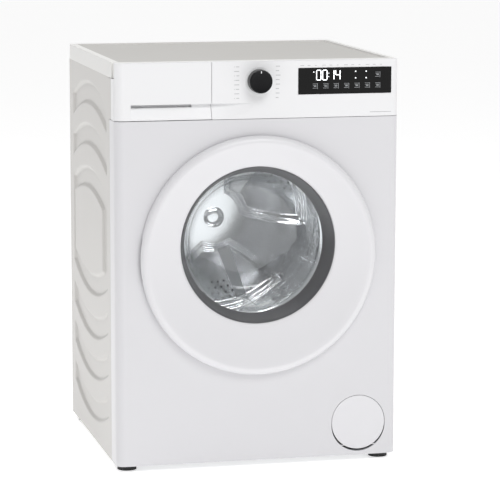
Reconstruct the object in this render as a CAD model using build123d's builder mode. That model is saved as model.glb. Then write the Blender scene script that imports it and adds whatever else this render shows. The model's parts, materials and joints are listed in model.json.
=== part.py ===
from build123d import *
import os

# Front load washing machine, millimetres. +Z up, +X to the right seen from the front, the front faces -Y.
# The origin is on the floor under the middle of the whole machine.
# A "depth" is a distance behind the flat front panel, so depth 0 is the panel's face.

# Cabinet
WIDTH = 600
HEIGHT = 850
DEPTH = 561
PROUD = 24  # the knob stands this far in front of the front panel
FRONT_Y = -(DEPTH - PROUD) / 2
SHEET = 1.0
HALF = WIDTH / 2
CORNER_R = 18
UNDERSIDE_Z = 13
FASCIA_BOTTOM_Z = 731.5
APRON_Z = 817
FRONT_RETURN = 61
FASCIA_RETURN = 42
WORKTOP_START = 35
REAR_PANEL_DEPTH = DEPTH - 4
SEAM = 1.0

# Pressed bands of the side panels
EMBOSS = 4
BAND_MID_DEPTH = 305
BAND_HALF = 209.5
BAND_RISE = 42
UPPER_BANDS = [(739, 789), (650, 698)]
LOWER_BANDS = [(234, 284), (145, 194), (55, 102)]

# Door, drum and tub
DOOR_Z = 447.3
DOOR_R = 250
DOOR_FRONT = -20
DRUM_Z = 468
GLASS_R = 164
RECESS_R = 243
RECESS_DEPTH = 14
PANEL_HOLE_R = 172
TUB_R = 255
TUB_WALL = 3.5
DRUM_R = 235
DRUM_FRONT = 112
DRUM_BACK = 440
FLANGE_DEPTH = 300
FLANGE_R = 270
BOLT_CIRCLE_R = 263
HINGE_X = -240
HINGE_DEPTH = -10.5

# Drive
PULLEY_R = 140
BELT_PLANE = 515
BELT_WIDTH = 12
MOTOR_X = 70
MOTOR_Z = 120
MOTOR_R = 62
MOTOR_PULLEY_R = 10.5
SHAFT_R = 14.95

# Fascia
SEAM_X = -98
FOLD_Z = 764
SCOOP_DEPTH = 12
KNOB_Z = 809
KNOB_R = 24.5
DRAWER_DEPTH = 12
TRAY_LOW_Z = 742
TRAY_HIGH_Z = 806
HOUSING_LEFT = -290
HOUSING_RIGHT = -108

# Drain filter
FILTER_X = 217.3
FILTER_Z = 83.2
FILTER_COVER_R = 57.3
COVER_PIVOT_Z = 34
COVER_PIVOT_DEPTH = 2.4
COVER_PIN_R = 1.2
COVER_SWING_GAP = 4.0

# Feet, springs and dampers
FOOT_X = 272
FOOT_DEPTHS = {"front": 40, "rear": 520}
SPRING_X = 272
SPRING_DEPTH = 310
SPRING_LOW_Z = 650
SPRING_HIGH_Z = 800
DAMPER_X = 190
DAMPER_DEPTHS = [205, 400]
DRAIN_HOSE = (217, 118)
FILL_HOSE = (-200, 200)

os.makedirs("parts", exist_ok=True)


def finish(part, name):
    """Label a finished piece and write it."""
    part.label = name
    export_step(part, "parts/" + name + ".step")


def block(x, depth, z, mode=Mode.ADD):
    """A box given by its spans in x, in depth and in height."""
    middle = ((x[0] + x[1]) / 2, FRONT_Y + (depth[0] + depth[1]) / 2, (z[0] + z[1]) / 2)
    with Locations(middle):
        Box(x[1] - x[0], depth[1] - depth[0], z[1] - z[0], mode=mode)


def bar(x, z, radius, depth, mode=Mode.ADD):
    """A round bar that runs front to back between two depths."""
    middle = (x, FRONT_Y + (depth[0] + depth[1]) / 2, z)
    with Locations(Location(middle, (90, 0, 0))):
        Cylinder(radius, depth[1] - depth[0], mode=mode)


def post(x, depth, radius, z, mode=Mode.ADD):
    """An upright round post between two heights."""
    with Locations((x, FRONT_Y + depth, (z[0] + z[1]) / 2)):
        Cylinder(radius, z[1] - z[0], mode=mode)


def pin_across(x, depth, z, radius, mode=Mode.ADD):
    """A round pin that runs left to right."""
    middle = ((x[0] + x[1]) / 2, FRONT_Y + depth, z)
    with Locations(Location(middle, (0, 90, 0))):
        Cylinder(radius, x[1] - x[0], mode=mode)


def turned(profile, x=0, z=DRUM_Z, mode=Mode.ADD):
    """A ring turned about a front-to-back axis; the profile's points are (radius, depth)."""
    with BuildSketch(Plane((x, FRONT_Y, z), x_dir=(1, 0, 0), z_dir=(0, 0, 1))) as section:
        with BuildLine():
            Polyline(*profile, close=True)
        make_face()
    revolve(section.sketch, axis=Axis((x, 0, z), (0, 1, 0)), mode=mode)


def front_plane(depth, x=0, z=0):
    """A plane at a depth, looking out of the front: local x is right and local y is up."""
    return Plane((x, FRONT_Y + depth, z), x_dir=(1, 0, 0), z_dir=(0, -1, 0))


def side_plane(x):
    """A plane across the machine: local x runs to the back, local y is up."""
    return Plane((x, FRONT_Y + BAND_MID_DEPTH, 0), x_dir=(0, 1, 0), z_dir=(1, 0, 0))


# ---------------------------------------------------------------- side panels
def arched_band(low, high, rise, grow):
    """A pressed band between two arcs; a positive rise bows it upwards."""
    half = BAND_HALF + grow
    top = high + grow
    bottom = low - grow
    with BuildSketch(side_plane(-HALF)) as band:
        with BuildLine():
            ThreePointArc((-half, top - rise), (0, top), (half, top - rise))
            Line((half, top - rise), (half, bottom - rise))
            ThreePointArc((half, bottom - rise), (0, bottom), (-half, bottom - rise))
            Line((-half, bottom - rise), (-half, top - rise))
        make_face()
    return band.sketch


def ring_band(grow):
    """The closed pressed band round the raised middle panel."""
    outer_top = 604 + grow
    outer_low = 328 - grow
    half = BAND_HALF + grow
    inner_front = -150 + grow
    inner_back = 190 - grow
    inner_top = 556 - grow
    inner_low = 374 + grow
    inner_mid = (inner_front + inner_back) / 2
    inner_rise = 26
    with BuildSketch(side_plane(-HALF)) as band:
        with BuildLine():
            ThreePointArc((-half, outer_top - BAND_RISE), (0, outer_top), (half, outer_top - BAND_RISE))
            Line((half, outer_top - BAND_RISE), (half, outer_low + BAND_RISE))
            ThreePointArc((half, outer_low + BAND_RISE), (0, outer_low), (-half, outer_low + BAND_RISE))
            Line((-half, outer_low + BAND_RISE), (-half, outer_top - BAND_RISE))
        make_face()
        with BuildLine():
            left_high = (inner_front, inner_top - inner_rise)
            right_high = (inner_back, inner_top - inner_rise)
            right_low = (inner_back, inner_low + inner_rise)
            left_low = (inner_front, inner_low + inner_rise)
            ThreePointArc(left_high, (inner_mid, inner_top), right_high)
            Line(right_high, right_low)
            ThreePointArc(right_low, (inner_mid, inner_low), left_low)
            Line(left_low, left_high)
        make_face(mode=Mode.SUBTRACT)
    return band.sketch


def pressed_shapes(grow):
    """All the pressed shapes of one side panel, grown outwards by the given amount."""
    shapes = [arched_band(low, high, BAND_RISE, grow) for low, high in UPPER_BANDS]
    shapes += [arched_band(low, high, -BAND_RISE, grow) for low, high in LOWER_BANDS]
    shapes.append(ring_band(grow))
    return shapes


FLANGE = 18
SIDE_BACK = REAR_PANEL_DEPTH + 2
inner_face = -HALF + SHEET
with BuildPart() as side_panel_left:
    block((-HALF, inner_face), (FRONT_RETURN + SEAM, SIDE_BACK), (UNDERSIDE_Z, APRON_Z))
    block((-HALF, inner_face), (FASCIA_RETURN + SEAM, 80), (FASCIA_BOTTOM_Z, APRON_Z))
    block((-HALF, inner_face + FLANGE), (FRONT_RETURN + SEAM, SIDE_BACK), (UNDERSIDE_Z, UNDERSIDE_Z + SHEET))
    block((-HALF, inner_face + FLANGE), (FASCIA_RETURN + SEAM, SIDE_BACK), (APRON_Z - SHEET, APRON_Z))
    block((-HALF, inner_face + FLANGE), (SIDE_BACK - SHEET, SIDE_BACK), (UNDERSIDE_Z, APRON_Z))
    for shape in pressed_shapes(SHEET):
        extrude(shape, amount=EMBOSS + SHEET)
    for shape in pressed_shapes(0):
        extrude(shape, amount=EMBOSS, mode=Mode.SUBTRACT)

with BuildPart() as side_panel_right:
    mirror(side_panel_left.part, about=Plane.YZ)

# ---------------------------------------------------------------- front panel
PANEL_TOP_Z = FASCIA_BOTTOM_Z - SEAM


def front_prism(inset, back, z):
    """A prism of the cabinet's plan near the front, with its two rounded front corners."""
    with BuildSketch(Plane.XY.offset(z[0])) as plan:
        with Locations((0, FRONT_Y + (inset + back) / 2)):
            Rectangle(WIDTH - 2 * inset, back - inset)
        fillet(plan.vertices().group_by(Axis.Y)[0], CORNER_R - inset)
    return extrude(plan.sketch, amount=z[1] - z[0], mode=Mode.PRIVATE)


def front_disc(radius, z, depth, mode=Mode.ADD):
    """A disc of the door's circle between two depths."""
    bar(0, z, radius, depth, mode)


with BuildPart() as front_panel:
    add(front_prism(0, FRONT_RETURN, (UNDERSIDE_Z, PANEL_TOP_Z)))
    add(front_prism(SHEET, FRONT_RETURN + 5, (UNDERSIDE_Z + SHEET, PANEL_TOP_Z - SHEET)), mode=Mode.SUBTRACT)
    block((-HALF + 12, HALF - 12), (11, 80), (0, HEIGHT), Mode.SUBTRACT)
    front_disc(RECESS_R + SHEET, DOOR_Z, (0, RECESS_DEPTH + SHEET))
    front_disc(RECESS_R, DOOR_Z, (-1, RECESS_DEPTH), Mode.SUBTRACT)
    bar(0, DRUM_Z, PANEL_HOLE_R + SHEET, (RECESS_DEPTH, RECESS_DEPTH + 6))
    bar(0, DRUM_Z, PANEL_HOLE_R, (-1, RECESS_DEPTH + 10), Mode.SUBTRACT)
    for drop in (0, COVER_SWING_GAP):
        bar(FILTER_X, FILTER_Z - drop, FILTER_COVER_R + 1, (-1, 5), Mode.SUBTRACT)
    block((197, 222), (RECESS_DEPTH - 1, RECESS_DEPTH + 2), (432, 462), Mode.SUBTRACT)
finish(front_panel.part, "front_panel")

# ---------------------------------------------------------------- rear panel and its cover
POCKET_HALF = 30
POCKET_FLOOR = REAR_PANEL_DEPTH - 26
SPIGOT_HOLE_R = 17  # leaves room round a spigot for the hose's nut
INLET = (210, 765)
OUTLET = (-225, 95)
GLAND = (-215, 770)
TRANSIT_HOLES = [(-205, 330), (205, 330), (-205, 640), (205, 640)]
COVER_Z = 400
rear_face = REAR_PANEL_DEPTH + SHEET


def stadium(depth, width, height, radius, thickness, mode=Mode.ADD):
    """A rounded plate of the rear service opening, from a depth towards the back."""
    with BuildSketch(front_plane(depth, 0, COVER_Z)) as outline:
        RectangleRounded(width, height, radius)
    extrude(outline.sketch, amount=-thickness, mode=mode)


COVER_SCREWS = [(x, z) for x in (-157, 157) for z in (330, 470)] + [(0, 198), (0, 602)]
PANEL_SCREWS = [(x, z) for x in (-289, 289) for z in (60, 290, 520, 780)]
with BuildPart() as rear_panel:
    block((-HALF + 1.5, HALF - 1.5), (REAR_PANEL_DEPTH, rear_face), (UNDERSIDE_Z + 1.5, APRON_Z - 1.5))
    stadium(REAR_PANEL_DEPTH - 1, 300, 390, 105, 3, Mode.SUBTRACT)
    for x, z in (INLET, OUTLET):
        wall_x = (x - POCKET_HALF - SHEET, x + POCKET_HALF + SHEET)
        wall_z = (z - POCKET_HALF - SHEET, z + POCKET_HALF + SHEET)
        block(wall_x, (POCKET_FLOOR, rear_face), wall_z)
    for x, z in (INLET, OUTLET):
        pocket_x = (x - POCKET_HALF, x + POCKET_HALF)
        block(pocket_x, (POCKET_FLOOR + SHEET, DEPTH), (z - POCKET_HALF, z + POCKET_HALF), Mode.SUBTRACT)
        bar(x, z, SPIGOT_HOLE_R, (POCKET_FLOOR - 2, DEPTH), Mode.SUBTRACT)
    bar(GLAND[0], GLAND[1], 9.3, (REAR_PANEL_DEPTH - 2, DEPTH), Mode.SUBTRACT)
    for x, z in TRANSIT_HOLES:
        bar(x, z, 9.3, (REAR_PANEL_DEPTH - 2, DEPTH), Mode.SUBTRACT)
    for x, z in COVER_SCREWS + PANEL_SCREWS:
        bar(x, z, 2.2, (REAR_PANEL_DEPTH - 2, DEPTH), Mode.SUBTRACT)
finish(rear_panel.part, "rear_panel")

with BuildPart() as rear_cover:
    stadium(rear_face, 330, 420, 120, SHEET)
    for x, z in COVER_SCREWS:
        bar(x, z, 2.2, (REAR_PANEL_DEPTH, DEPTH), Mode.SUBTRACT)
finish(rear_cover.part, "rear_cover")

with BuildPart() as cabinet_screws:
    for x, z in COVER_SCREWS + PANEL_SCREWS:
        bar(x, z, 2, (REAR_PANEL_DEPTH - 8, REAR_PANEL_DEPTH + 2.5))
        bar(x, z, 4, (REAR_PANEL_DEPTH + 2, DEPTH))
finish(cabinet_screws.part, "cabinet_screws")

for x, z in PANEL_SCREWS:
    with BuildPart() as drilled:
        add(side_panel_left.part if x < 0 else side_panel_right.part)
        bar(x, z, 2.2, (REAR_PANEL_DEPTH - 2, DEPTH), Mode.SUBTRACT)
    if x < 0:
        side_panel_left = drilled
    else:
        side_panel_right = drilled
finish(side_panel_left.part, "side_panel_left")
finish(side_panel_right.part, "side_panel_right")

with BuildPart() as transit_caps:
    for x, z in TRANSIT_HOLES:
        bar(x, z, 9, (REAR_PANEL_DEPTH - 12, rear_face))
        bar(x, z, 14, (rear_face, rear_face + 2.5))
finish(transit_caps.part, "transit_caps")

with BuildPart() as cable_gland:
    bar(GLAND[0], GLAND[1], 9, (REAR_PANEL_DEPTH - 15, rear_face))
    bar(GLAND[0], GLAND[1], 13, (rear_face, DEPTH))
    bar(GLAND[0], GLAND[1], 4.5, (0, DEPTH + 5), Mode.SUBTRACT)
finish(cable_gland.part, "cable_gland")

with BuildPart() as inlet_valve:
    block((190, 230), (POCKET_FLOOR - 50, POCKET_FLOOR), (745, 785))
    post(210, POCKET_FLOOR - 30, 12, (785, 797))
    bar(INLET[0], INLET[1], 13.2, (POCKET_FLOOR, rear_face - 3))
    bar(INLET[0], INLET[1], 9, (POCKET_FLOOR - 10, DEPTH), Mode.SUBTRACT)
finish(inlet_valve.part, "inlet_valve")

with BuildPart() as drain_outlet:
    bar(OUTLET[0], OUTLET[1], 18, (POCKET_FLOOR - 20, POCKET_FLOOR))
    bar(OUTLET[0], OUTLET[1], 11, (POCKET_FLOOR, rear_face - 3))
    bar(OUTLET[0], OUTLET[1], 8, (POCKET_FLOOR - 10, DEPTH), Mode.SUBTRACT)
finish(drain_outlet.part, "drain_outlet")

# ---------------------------------------------------------------- base and feet
BASE_FRONT = 12
BASE_TOP = 45
FOOT_BOSS_TOP = 34
FOOT_PAD = 9
with BuildPart() as base_pan:
    base_z = UNDERSIDE_Z + SHEET
    block((-HALF + 2.5, HALF - 2.5), (BASE_FRONT, REAR_PANEL_DEPTH - 1), (base_z, BASE_TOP))
    pan_inside = (BASE_FRONT + 3, REAR_PANEL_DEPTH - 4)
    block((-HALF + 5.5, HALF - 5.5), pan_inside, (base_z + 3, BASE_TOP + 1), Mode.SUBTRACT)
    for x in (-FOOT_X, FOOT_X):
        for depth in FOOT_DEPTHS.values():
            post(x, depth, 14, (base_z, FOOT_BOSS_TOP))
            post(x, depth, 5, (0, BASE_TOP), Mode.SUBTRACT)
    bar(FILTER_X, FILTER_Z, 64, (0, 34), Mode.SUBTRACT)
finish(base_pan.part, "base_pan")

for place, depth in FOOT_DEPTHS.items():
    for hand, x in (("left", -FOOT_X), ("right", FOOT_X)):
        with BuildPart() as foot:
            post(x, depth, 20, (0, FOOT_PAD))
            fillet(foot.edges().filter_by(GeomType.CIRCLE).group_by(Axis.Z)[-1], 3)
            with BuildSketch(Plane((x, FRONT_Y + depth, FOOT_PAD))):
                RegularPolygon(9, 6)
            extrude(amount=3)
            post(x, depth, 4.95, (FOOT_PAD, FOOT_BOSS_TOP - 1))
        finish(foot.part, "foot_" + place + "_" + hand)

# ---------------------------------------------------------------- top frame and worktop
RAIL_Z = (800, APRON_Z - SHEET)
with BuildPart() as top_frame:
    for side in (-1, 1):
        rail = sorted((side * 284, side * 294))
        lug = sorted((side * 258, side * 294))
        block(rail, (SPRING_DEPTH - 20, REAR_PANEL_DEPTH - 2), RAIL_Z)
        block(lug, (SPRING_DEPTH - 16, SPRING_DEPTH + 16), (RAIL_Z[0], RAIL_Z[0] + 3))
    block((-290, 290), (395, 440), (RAIL_Z[1] - 3, RAIL_Z[1]))
finish(top_frame.part, "top_frame")

BOARD_THICK = 16
BOARD_DROP = 3
BORDER = 14
TONGUE_START = DRAWER_DEPTH + SEAM
board_z = (HEIGHT - BOARD_DROP - BOARD_THICK, HEIGHT - BOARD_DROP)
with BuildPart() as worktop_frame:
    block((-HALF, HALF), (WORKTOP_START + SEAM, DEPTH), (APRON_Z, HEIGHT))
    corners = worktop_frame.edges().filter_by(Axis.Z).group_by(Axis.Y)[-1]
    fillet(corners, 8)
    block((-HALF + 3.5, HALF - 3.5), (TONGUE_START, WORKTOP_START + 10), (APRON_Z, HEIGHT))
    fillet(worktop_frame.faces().sort_by(Axis.Z)[-1].edges(), 2)
    board_x = (-HALF + BORDER, HALF - BORDER)
    board_depth = (TONGUE_START + BORDER, DEPTH - BORDER)
    block(board_x, board_depth, (board_z[0], HEIGHT + 1), Mode.SUBTRACT)
    inside_x, inside_depth = ((span[0] + 10, span[1] - 10) for span in (board_x, board_depth))
    block(inside_x, inside_depth, (0, HEIGHT), Mode.SUBTRACT)
    block((-HALF + 6, HALF - 6), (TONGUE_START + 3, DEPTH - 3), (APRON_Z - 1, board_z[0] - 3), Mode.SUBTRACT)
finish(worktop_frame.part, "worktop_frame")

with BuildPart() as worktop_board:
    block((board_x[0] + 0.4, board_x[1] - 0.4), (board_depth[0] + 0.4, board_depth[1] - 0.4), board_z)
    chamfer(worktop_board.faces().sort_by(Axis.Z)[-1].edges(), 1)
finish(worktop_board.part, "worktop_board")

# ---------------------------------------------------------------- fascia
FASCIA_TOP_Z = HEIGHT - 0.5
FASCIA_WALL = 3
DISPLAY_X = (83.5, 283)
DISPLAY_Z = (779, 834)
SCOOP_END_X = -12


def scoop_profile(x, deep):
    """The triangular section of the finger scoop at one x, deepest just under the fold."""
    with BuildSketch(Plane((x, FRONT_Y, 0), x_dir=(0, 1, 0), z_dir=(1, 0, 0))) as profile:
        with BuildLine():
            Polyline((-1, 733.5), (deep, FOLD_Z), (-1, FOLD_Z), close=True)
        make_face()
    return profile.sketch


with BuildPart() as fascia:
    add(front_prism(0, FASCIA_RETURN, (FASCIA_BOTTOM_Z, FASCIA_TOP_Z)))
    inner_back = FASCIA_RETURN + 5
    add(front_prism(FASCIA_WALL, inner_back, (FASCIA_BOTTOM_Z - 1, FASCIA_TOP_Z - 3)), mode=Mode.SUBTRACT)
    block((-HALF, HALF), (DRAWER_DEPTH + 0.5, 60), (APRON_Z - 0.5, HEIGHT), Mode.SUBTRACT)
    block((SEAM_X, SCOOP_END_X + 6), (0, SCOOP_DEPTH + 3), (FASCIA_BOTTOM_Z, FOLD_Z + 4))
    block((-HALF - 1, SEAM_X), (-1, DRAWER_DEPTH + 0.5), (0, HEIGHT), Mode.SUBTRACT)
    drawer_back = (DRAWER_DEPTH + 0.5, DRAWER_DEPTH + 3.5)
    block((-HALF + 1, SEAM_X + FASCIA_WALL), drawer_back, (FASCIA_BOTTOM_Z, APRON_Z - 1))
    block((HOUSING_LEFT - 1, HOUSING_RIGHT + 1), (0, 20), (736.5, 813.5), Mode.SUBTRACT)
    loft([scoop_profile(SEAM_X - 0.5, SCOOP_DEPTH), scoop_profile(SCOOP_END_X, 0.3)], mode=Mode.SUBTRACT)
    bar(0, KNOB_Z, 29, (-2, 1))
    bar(0, KNOB_Z, 5.4, (-5, 10), Mode.SUBTRACT)
    block(DISPLAY_X, (-1, 1.5), DISPLAY_Z, Mode.SUBTRACT)
    block((DISPLAY_X[0] + 5, DISPLAY_X[1] - 5), (-1, 5), (DISPLAY_Z[0] + 5, DISPLAY_Z[1] - 5), Mode.SUBTRACT)
finish(fascia.part, "fascia")

with BuildPart() as display_glass:
    block((DISPLAY_X[0] + 0.3, DISPLAY_X[1] - 0.3), (-0.6, 1.5), (DISPLAY_Z[0] + 0.3, DISPLAY_Z[1] - 0.3))
    fillet(display_glass.edges().filter_by(Axis.Y), 2)
finish(display_glass.part, "display_glass")

with BuildPart() as control_board:
    block((-60, 285), (22, 23.6), (742, 814))
    block((-17, 17), (14, 22), (792, 814))
    block((DISPLAY_X[0] + 8, DISPLAY_X[1] - 8), (4, 22), (786, 812))
    block((60, 100), (23.6, 45), (750, 780))
    block((180, 230), (23.6, 38), (752, 775))
finish(control_board.part, "control_board")

# ---------------------------------------------------------------- program knob
with BuildPart() as program_knob:
    turned([(0, -PROUD), (KNOB_R - 2.5, -PROUD), (KNOB_R - 0.8, -PROUD + 1), (KNOB_R, -3), (0, -3)], 0, KNOB_Z)
    bar(0, KNOB_Z, 5, (-4, 12))
    block((-0.8, 0.8), (-PROUD - 1, -PROUD + 0.6), (KNOB_Z + 14, KNOB_Z + 22), Mode.SUBTRACT)
finish(program_knob.part, "program_knob")

# ---------------------------------------------------------------- detergent drawer and its housing
POCKET_X = (-267, -139)
with BuildPart() as drawer_hollow:
    add(front_prism(FASCIA_WALL, FRONT_RETURN, (FASCIA_BOTTOM_Z + 3.5, FASCIA_TOP_Z - 3)))
    block((SEAM_X - 4, HALF + 1), (-1, 70), (0, HEIGHT + 1), Mode.SUBTRACT)

with BuildPart() as drawer_front:
    add(front_prism(0, FRONT_RETURN, (FASCIA_BOTTOM_Z + 0.5, FASCIA_TOP_Z)))
    block((-HALF - 1, HALF + 1), (DRAWER_DEPTH, 70), (0, HEIGHT + 1), Mode.SUBTRACT)
    block((SEAM_X - SEAM, HALF + 1), (-1, 60), (0, HEIGHT + 1), Mode.SUBTRACT)
    add(drawer_hollow.part, mode=Mode.SUBTRACT)
    block((POCKET_X[0] - 3, SEAM_X - 2), (1, DRAWER_DEPTH), (FASCIA_BOTTOM_Z + 2, FOLD_Z + 4))
    block((POCKET_X[0] - 3, POCKET_X[1] + 3), (FASCIA_WALL - 1, 23), (745, 773))
    with BuildSketch(Plane.YZ.offset(POCKET_X[0])) as scoop:
        with BuildLine():
            Polyline(
                (FRONT_Y - 1, 733.5), (FRONT_Y + SCOOP_DEPTH, FOLD_Z), (FRONT_Y - 1, FOLD_Z), close=True
            )
        make_face()
    extrude(scoop.sketch, amount=SEAM_X - POCKET_X[0] + 1, mode=Mode.SUBTRACT)
    block(POCKET_X, (4, 20), (757, 770), Mode.SUBTRACT)
finish(drawer_front.part, "drawer_front")

TRAY_X = (HOUSING_LEFT + 4, HOUSING_RIGHT - 4)
TRAY_FRONT = 25
TRAY_BACK = 265
TRAY_WALL = 2.5
DIVIDERS_X = (-231, -172)
with BuildPart() as drawer_tray:
    block(TRAY_X, (DRAWER_DEPTH, TRAY_BACK), (TRAY_LOW_Z, TRAY_HIGH_Z))
    tray_inside_x = (TRAY_X[0] + TRAY_WALL, TRAY_X[1] - TRAY_WALL)
    block(tray_inside_x, (0, TRAY_FRONT), (TRAY_LOW_Z - 1, HEIGHT), Mode.SUBTRACT)
    edges_x = (TRAY_X[0],) + DIVIDERS_X + (TRAY_X[1] - TRAY_WALL,)
    for left, right in zip(edges_x[:-1], edges_x[1:]):
        inside_x = (left + TRAY_WALL, right)
        inside_depth = (TRAY_FRONT + TRAY_WALL, TRAY_BACK - TRAY_WALL)
        block(inside_x, inside_depth, (TRAY_LOW_Z + TRAY_WALL, HEIGHT), Mode.SUBTRACT)
    post(-201, 180, 6, (TRAY_LOW_Z, TRAY_LOW_Z + 22))
    post(-201, 180, 3.5, (TRAY_LOW_Z - 1, HEIGHT), Mode.SUBTRACT)
finish(drawer_tray.part, "drawer_tray")

with BuildPart() as siphon_cap:
    post(-201, 180, 10, (TRAY_LOW_Z + 4, TRAY_LOW_Z + 30))
    post(-201, 180, 7, (TRAY_LOW_Z, TRAY_LOW_Z + 27), Mode.SUBTRACT)
    block((-228, -173), (165, 195), (TRAY_LOW_Z + 27, TRAY_LOW_Z + 30))
finish(siphon_cap.part, "siphon_cap")

HOUSING_Z = (738, 812)
HOUSING_DEPTH = (DRAWER_DEPTH + 4, 285)
with BuildPart() as dispenser_housing:
    block((HOUSING_LEFT, HOUSING_RIGHT), HOUSING_DEPTH, HOUSING_Z)
    inside_x = (HOUSING_LEFT + 2.5, HOUSING_RIGHT - 2.5)
    block(inside_x, (0, HOUSING_DEPTH[1] - 2.5), (HOUSING_Z[0] + 2.5, HOUSING_Z[1] - 2.5), Mode.SUBTRACT)
    post(FILL_HOSE[0], FILL_HOSE[1], 12, (715, HOUSING_Z[0] + 1))
    post(FILL_HOSE[0], FILL_HOSE[1], 9.5, (700, HOUSING_Z[0] + 3), Mode.SUBTRACT)
finish(dispenser_housing.part, "dispenser_housing")

# ---------------------------------------------------------------- door
HINGE_CUT_Z = (DOOR_Z - 46, DOOR_Z + 46)
RIM_R = 235
LEAF_DEPTH = -7.5


def dish():
    """The door's sloped bowl-shaped face, from the rim's circle to the glass circle above its middle."""
    with BuildSketch(front_plane(DOOR_FRONT - 0.01, 0, DOOR_Z)) as wide:
        Circle(RIM_R)
    with BuildSketch(front_plane(0, 0, DRUM_Z)) as narrow:
        Circle(GLASS_R)
    return loft([wide.sketch, narrow.sketch], mode=Mode.PRIVATE)


with BuildPart() as door_ring:
    front_disc(DOOR_R, DOOR_Z, (DOOR_FRONT, -1))
    fillet(door_ring.edges().filter_by(GeomType.CIRCLE).group_by(Axis.Y)[0], 14)
    chamfer(door_ring.edges().filter_by(GeomType.CIRCLE).group_by(Axis.Y)[-1], 3)
    bar(0, DRUM_Z, GLASS_R + 6, (-2, 2))
    add(dish(), mode=Mode.SUBTRACT)
    bar(0, DRUM_Z, GLASS_R, (DOOR_FRONT, 10), Mode.SUBTRACT)
    block((-260, HINGE_X + 20), (HINGE_DEPTH + 0.5, 10), HINGE_CUT_Z, Mode.SUBTRACT)
    block((HINGE_X - 4, HINGE_X + 16), (HINGE_DEPTH - 3.9, 10), HINGE_CUT_Z, Mode.SUBTRACT)
    block((HINGE_X, -204), (LEAF_DEPTH, 10), HINGE_CUT_Z, Mode.SUBTRACT)
finish(door_ring.part, "door_ring")

TRIM_END = 42
TRIM_END_R = 148
with BuildPart() as door_trim:
    turned(
        [
            (GLASS_R - 0.5, -0.5),
            (GLASS_R - 0.5, 2.5),
            (GLASS_R + 3, 2.5),
            (GLASS_R + 3, 5),
            (TRIM_END_R + 3, TRIM_END),
            (TRIM_END_R, TRIM_END),
            (GLASS_R - 3, -0.5),
        ]
    )
finish(door_trim.part, "door_trim")

GLASS_WALL = 5
with BuildPart() as door_glass:
    turned(
        [
            (151, TRIM_END + 0.2),
            (151, TRIM_END + 5),
            (145, TRIM_END + 8),
            (127, 118),
            (112, 133),
            (80, 138),
            (0, 140),
            (0, 140 - GLASS_WALL),
            (79, 138 - GLASS_WALL),
            (109, 133 - GLASS_WALL),
            (122, 116),
            (139, TRIM_END + 6),
            (143, TRIM_END + 0.2),
        ]
    )
finish(door_glass.part, "door_glass")

SCREW_ANGLES = (60, 120, 240, 300)
screw_spots = [Vector(205, 0, 0).rotate(Axis.Z, angle) for angle in SCREW_ANGLES]
DOOR_SCREWS = [(spot.X, DOOR_Z + spot.Y) for spot in screw_spots]
with BuildPart() as door_inner_frame:
    front_disc(RECESS_R - 5, DOOR_Z, (-1, 8))
    front_disc(RECESS_R - 9, DOOR_Z, (0.5, 5), Mode.SUBTRACT)
    bar(0, DRUM_Z, PANEL_HOLE_R + 6, (-1, 8))
    bar(0, DRUM_Z, GLASS_R + 6.5, (-2, 20), Mode.SUBTRACT)
    block((-260, -203), (-2, 20), HINGE_CUT_Z, Mode.SUBTRACT)
    block((196, 216), (-2, 20), (436, 458), Mode.SUBTRACT)
    for x, z in DOOR_SCREWS:
        bar(x, z, 1.6, (-2, 20), Mode.SUBTRACT)
finish(door_inner_frame.part, "door_inner_frame")

PIN_R = 2.5
ARM_SPANS = [(DOOR_Z - 34, DOOR_Z - 22), (DOOR_Z + 22, DOOR_Z + 34)]
with BuildPart() as door_hinge_arm:
    leaf_z = (DOOR_Z - 20, DOOR_Z + 20)
    post(HINGE_X, HINGE_DEPTH, PIN_R, (DOOR_Z - 42, DOOR_Z + 42))
    post(HINGE_X, HINGE_DEPTH, 3.6, leaf_z)
    block((HINGE_X, HINGE_X + 14), (HINGE_DEPTH - 2, HINGE_DEPTH + 2), leaf_z)
    block((HINGE_X + 10, HINGE_X + 14), (HINGE_DEPTH - 2, LEAF_DEPTH + 4), leaf_z)
    block((HINGE_X + 10, -206), (LEAF_DEPTH, LEAF_DEPTH + 4), leaf_z)
finish(door_hinge_arm.part, "door_hinge_arm")

with BuildPart() as hinge_bracket:
    for span in ARM_SPANS:
        post(HINGE_X, HINGE_DEPTH, 3.6, span)
        block((HINGE_X, HINGE_X + 14), (HINGE_DEPTH - 2, HINGE_DEPTH + 2), span)
        block((HINGE_X + 10, HINGE_X + 14), (HINGE_DEPTH - 2, RECESS_DEPTH), span)
    block((-234, -188), (RECESS_DEPTH - 2.5, RECESS_DEPTH), (DOOR_Z - 42, DOOR_Z + 42))
    post(HINGE_X, HINGE_DEPTH, PIN_R + 0.08, (DOOR_Z - 60, DOOR_Z + 60), Mode.SUBTRACT)
    bar(0, DRUM_Z, PANEL_HOLE_R + 6.5, (0, 30), Mode.SUBTRACT)
finish(hinge_bracket.part, "hinge_bracket")

with BuildPart() as door_latch_hook:
    block((203, 211), (1, 34), (440, 454))
    block((203, 214), (1, 6), (437, 457))
    block((205, 213), (16, 26), (443, 451), Mode.SUBTRACT)
finish(door_latch_hook.part, "door_latch_hook")

with BuildPart() as door_lock:
    block((193, 232), (RECESS_DEPTH + SHEET, 56), (418, 476))
    block((199, 220), (RECESS_DEPTH, 42), (434, 460), Mode.SUBTRACT)
finish(door_lock.part, "door_lock")

with BuildPart() as door_screws:
    for x, z in DOOR_SCREWS:
        bar(x, z, 3.5, (8, 10))
        bar(x, z, 1.5, (0, 8))
finish(door_screws.part, "door_screws")

# ---------------------------------------------------------------- tub
FRONT_WALL = 100
OPENING_R = 168
REAR_WALL = 452
BEARING_FRONT = (462, 478)
BEARING_REAR = (487, 502)


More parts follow.
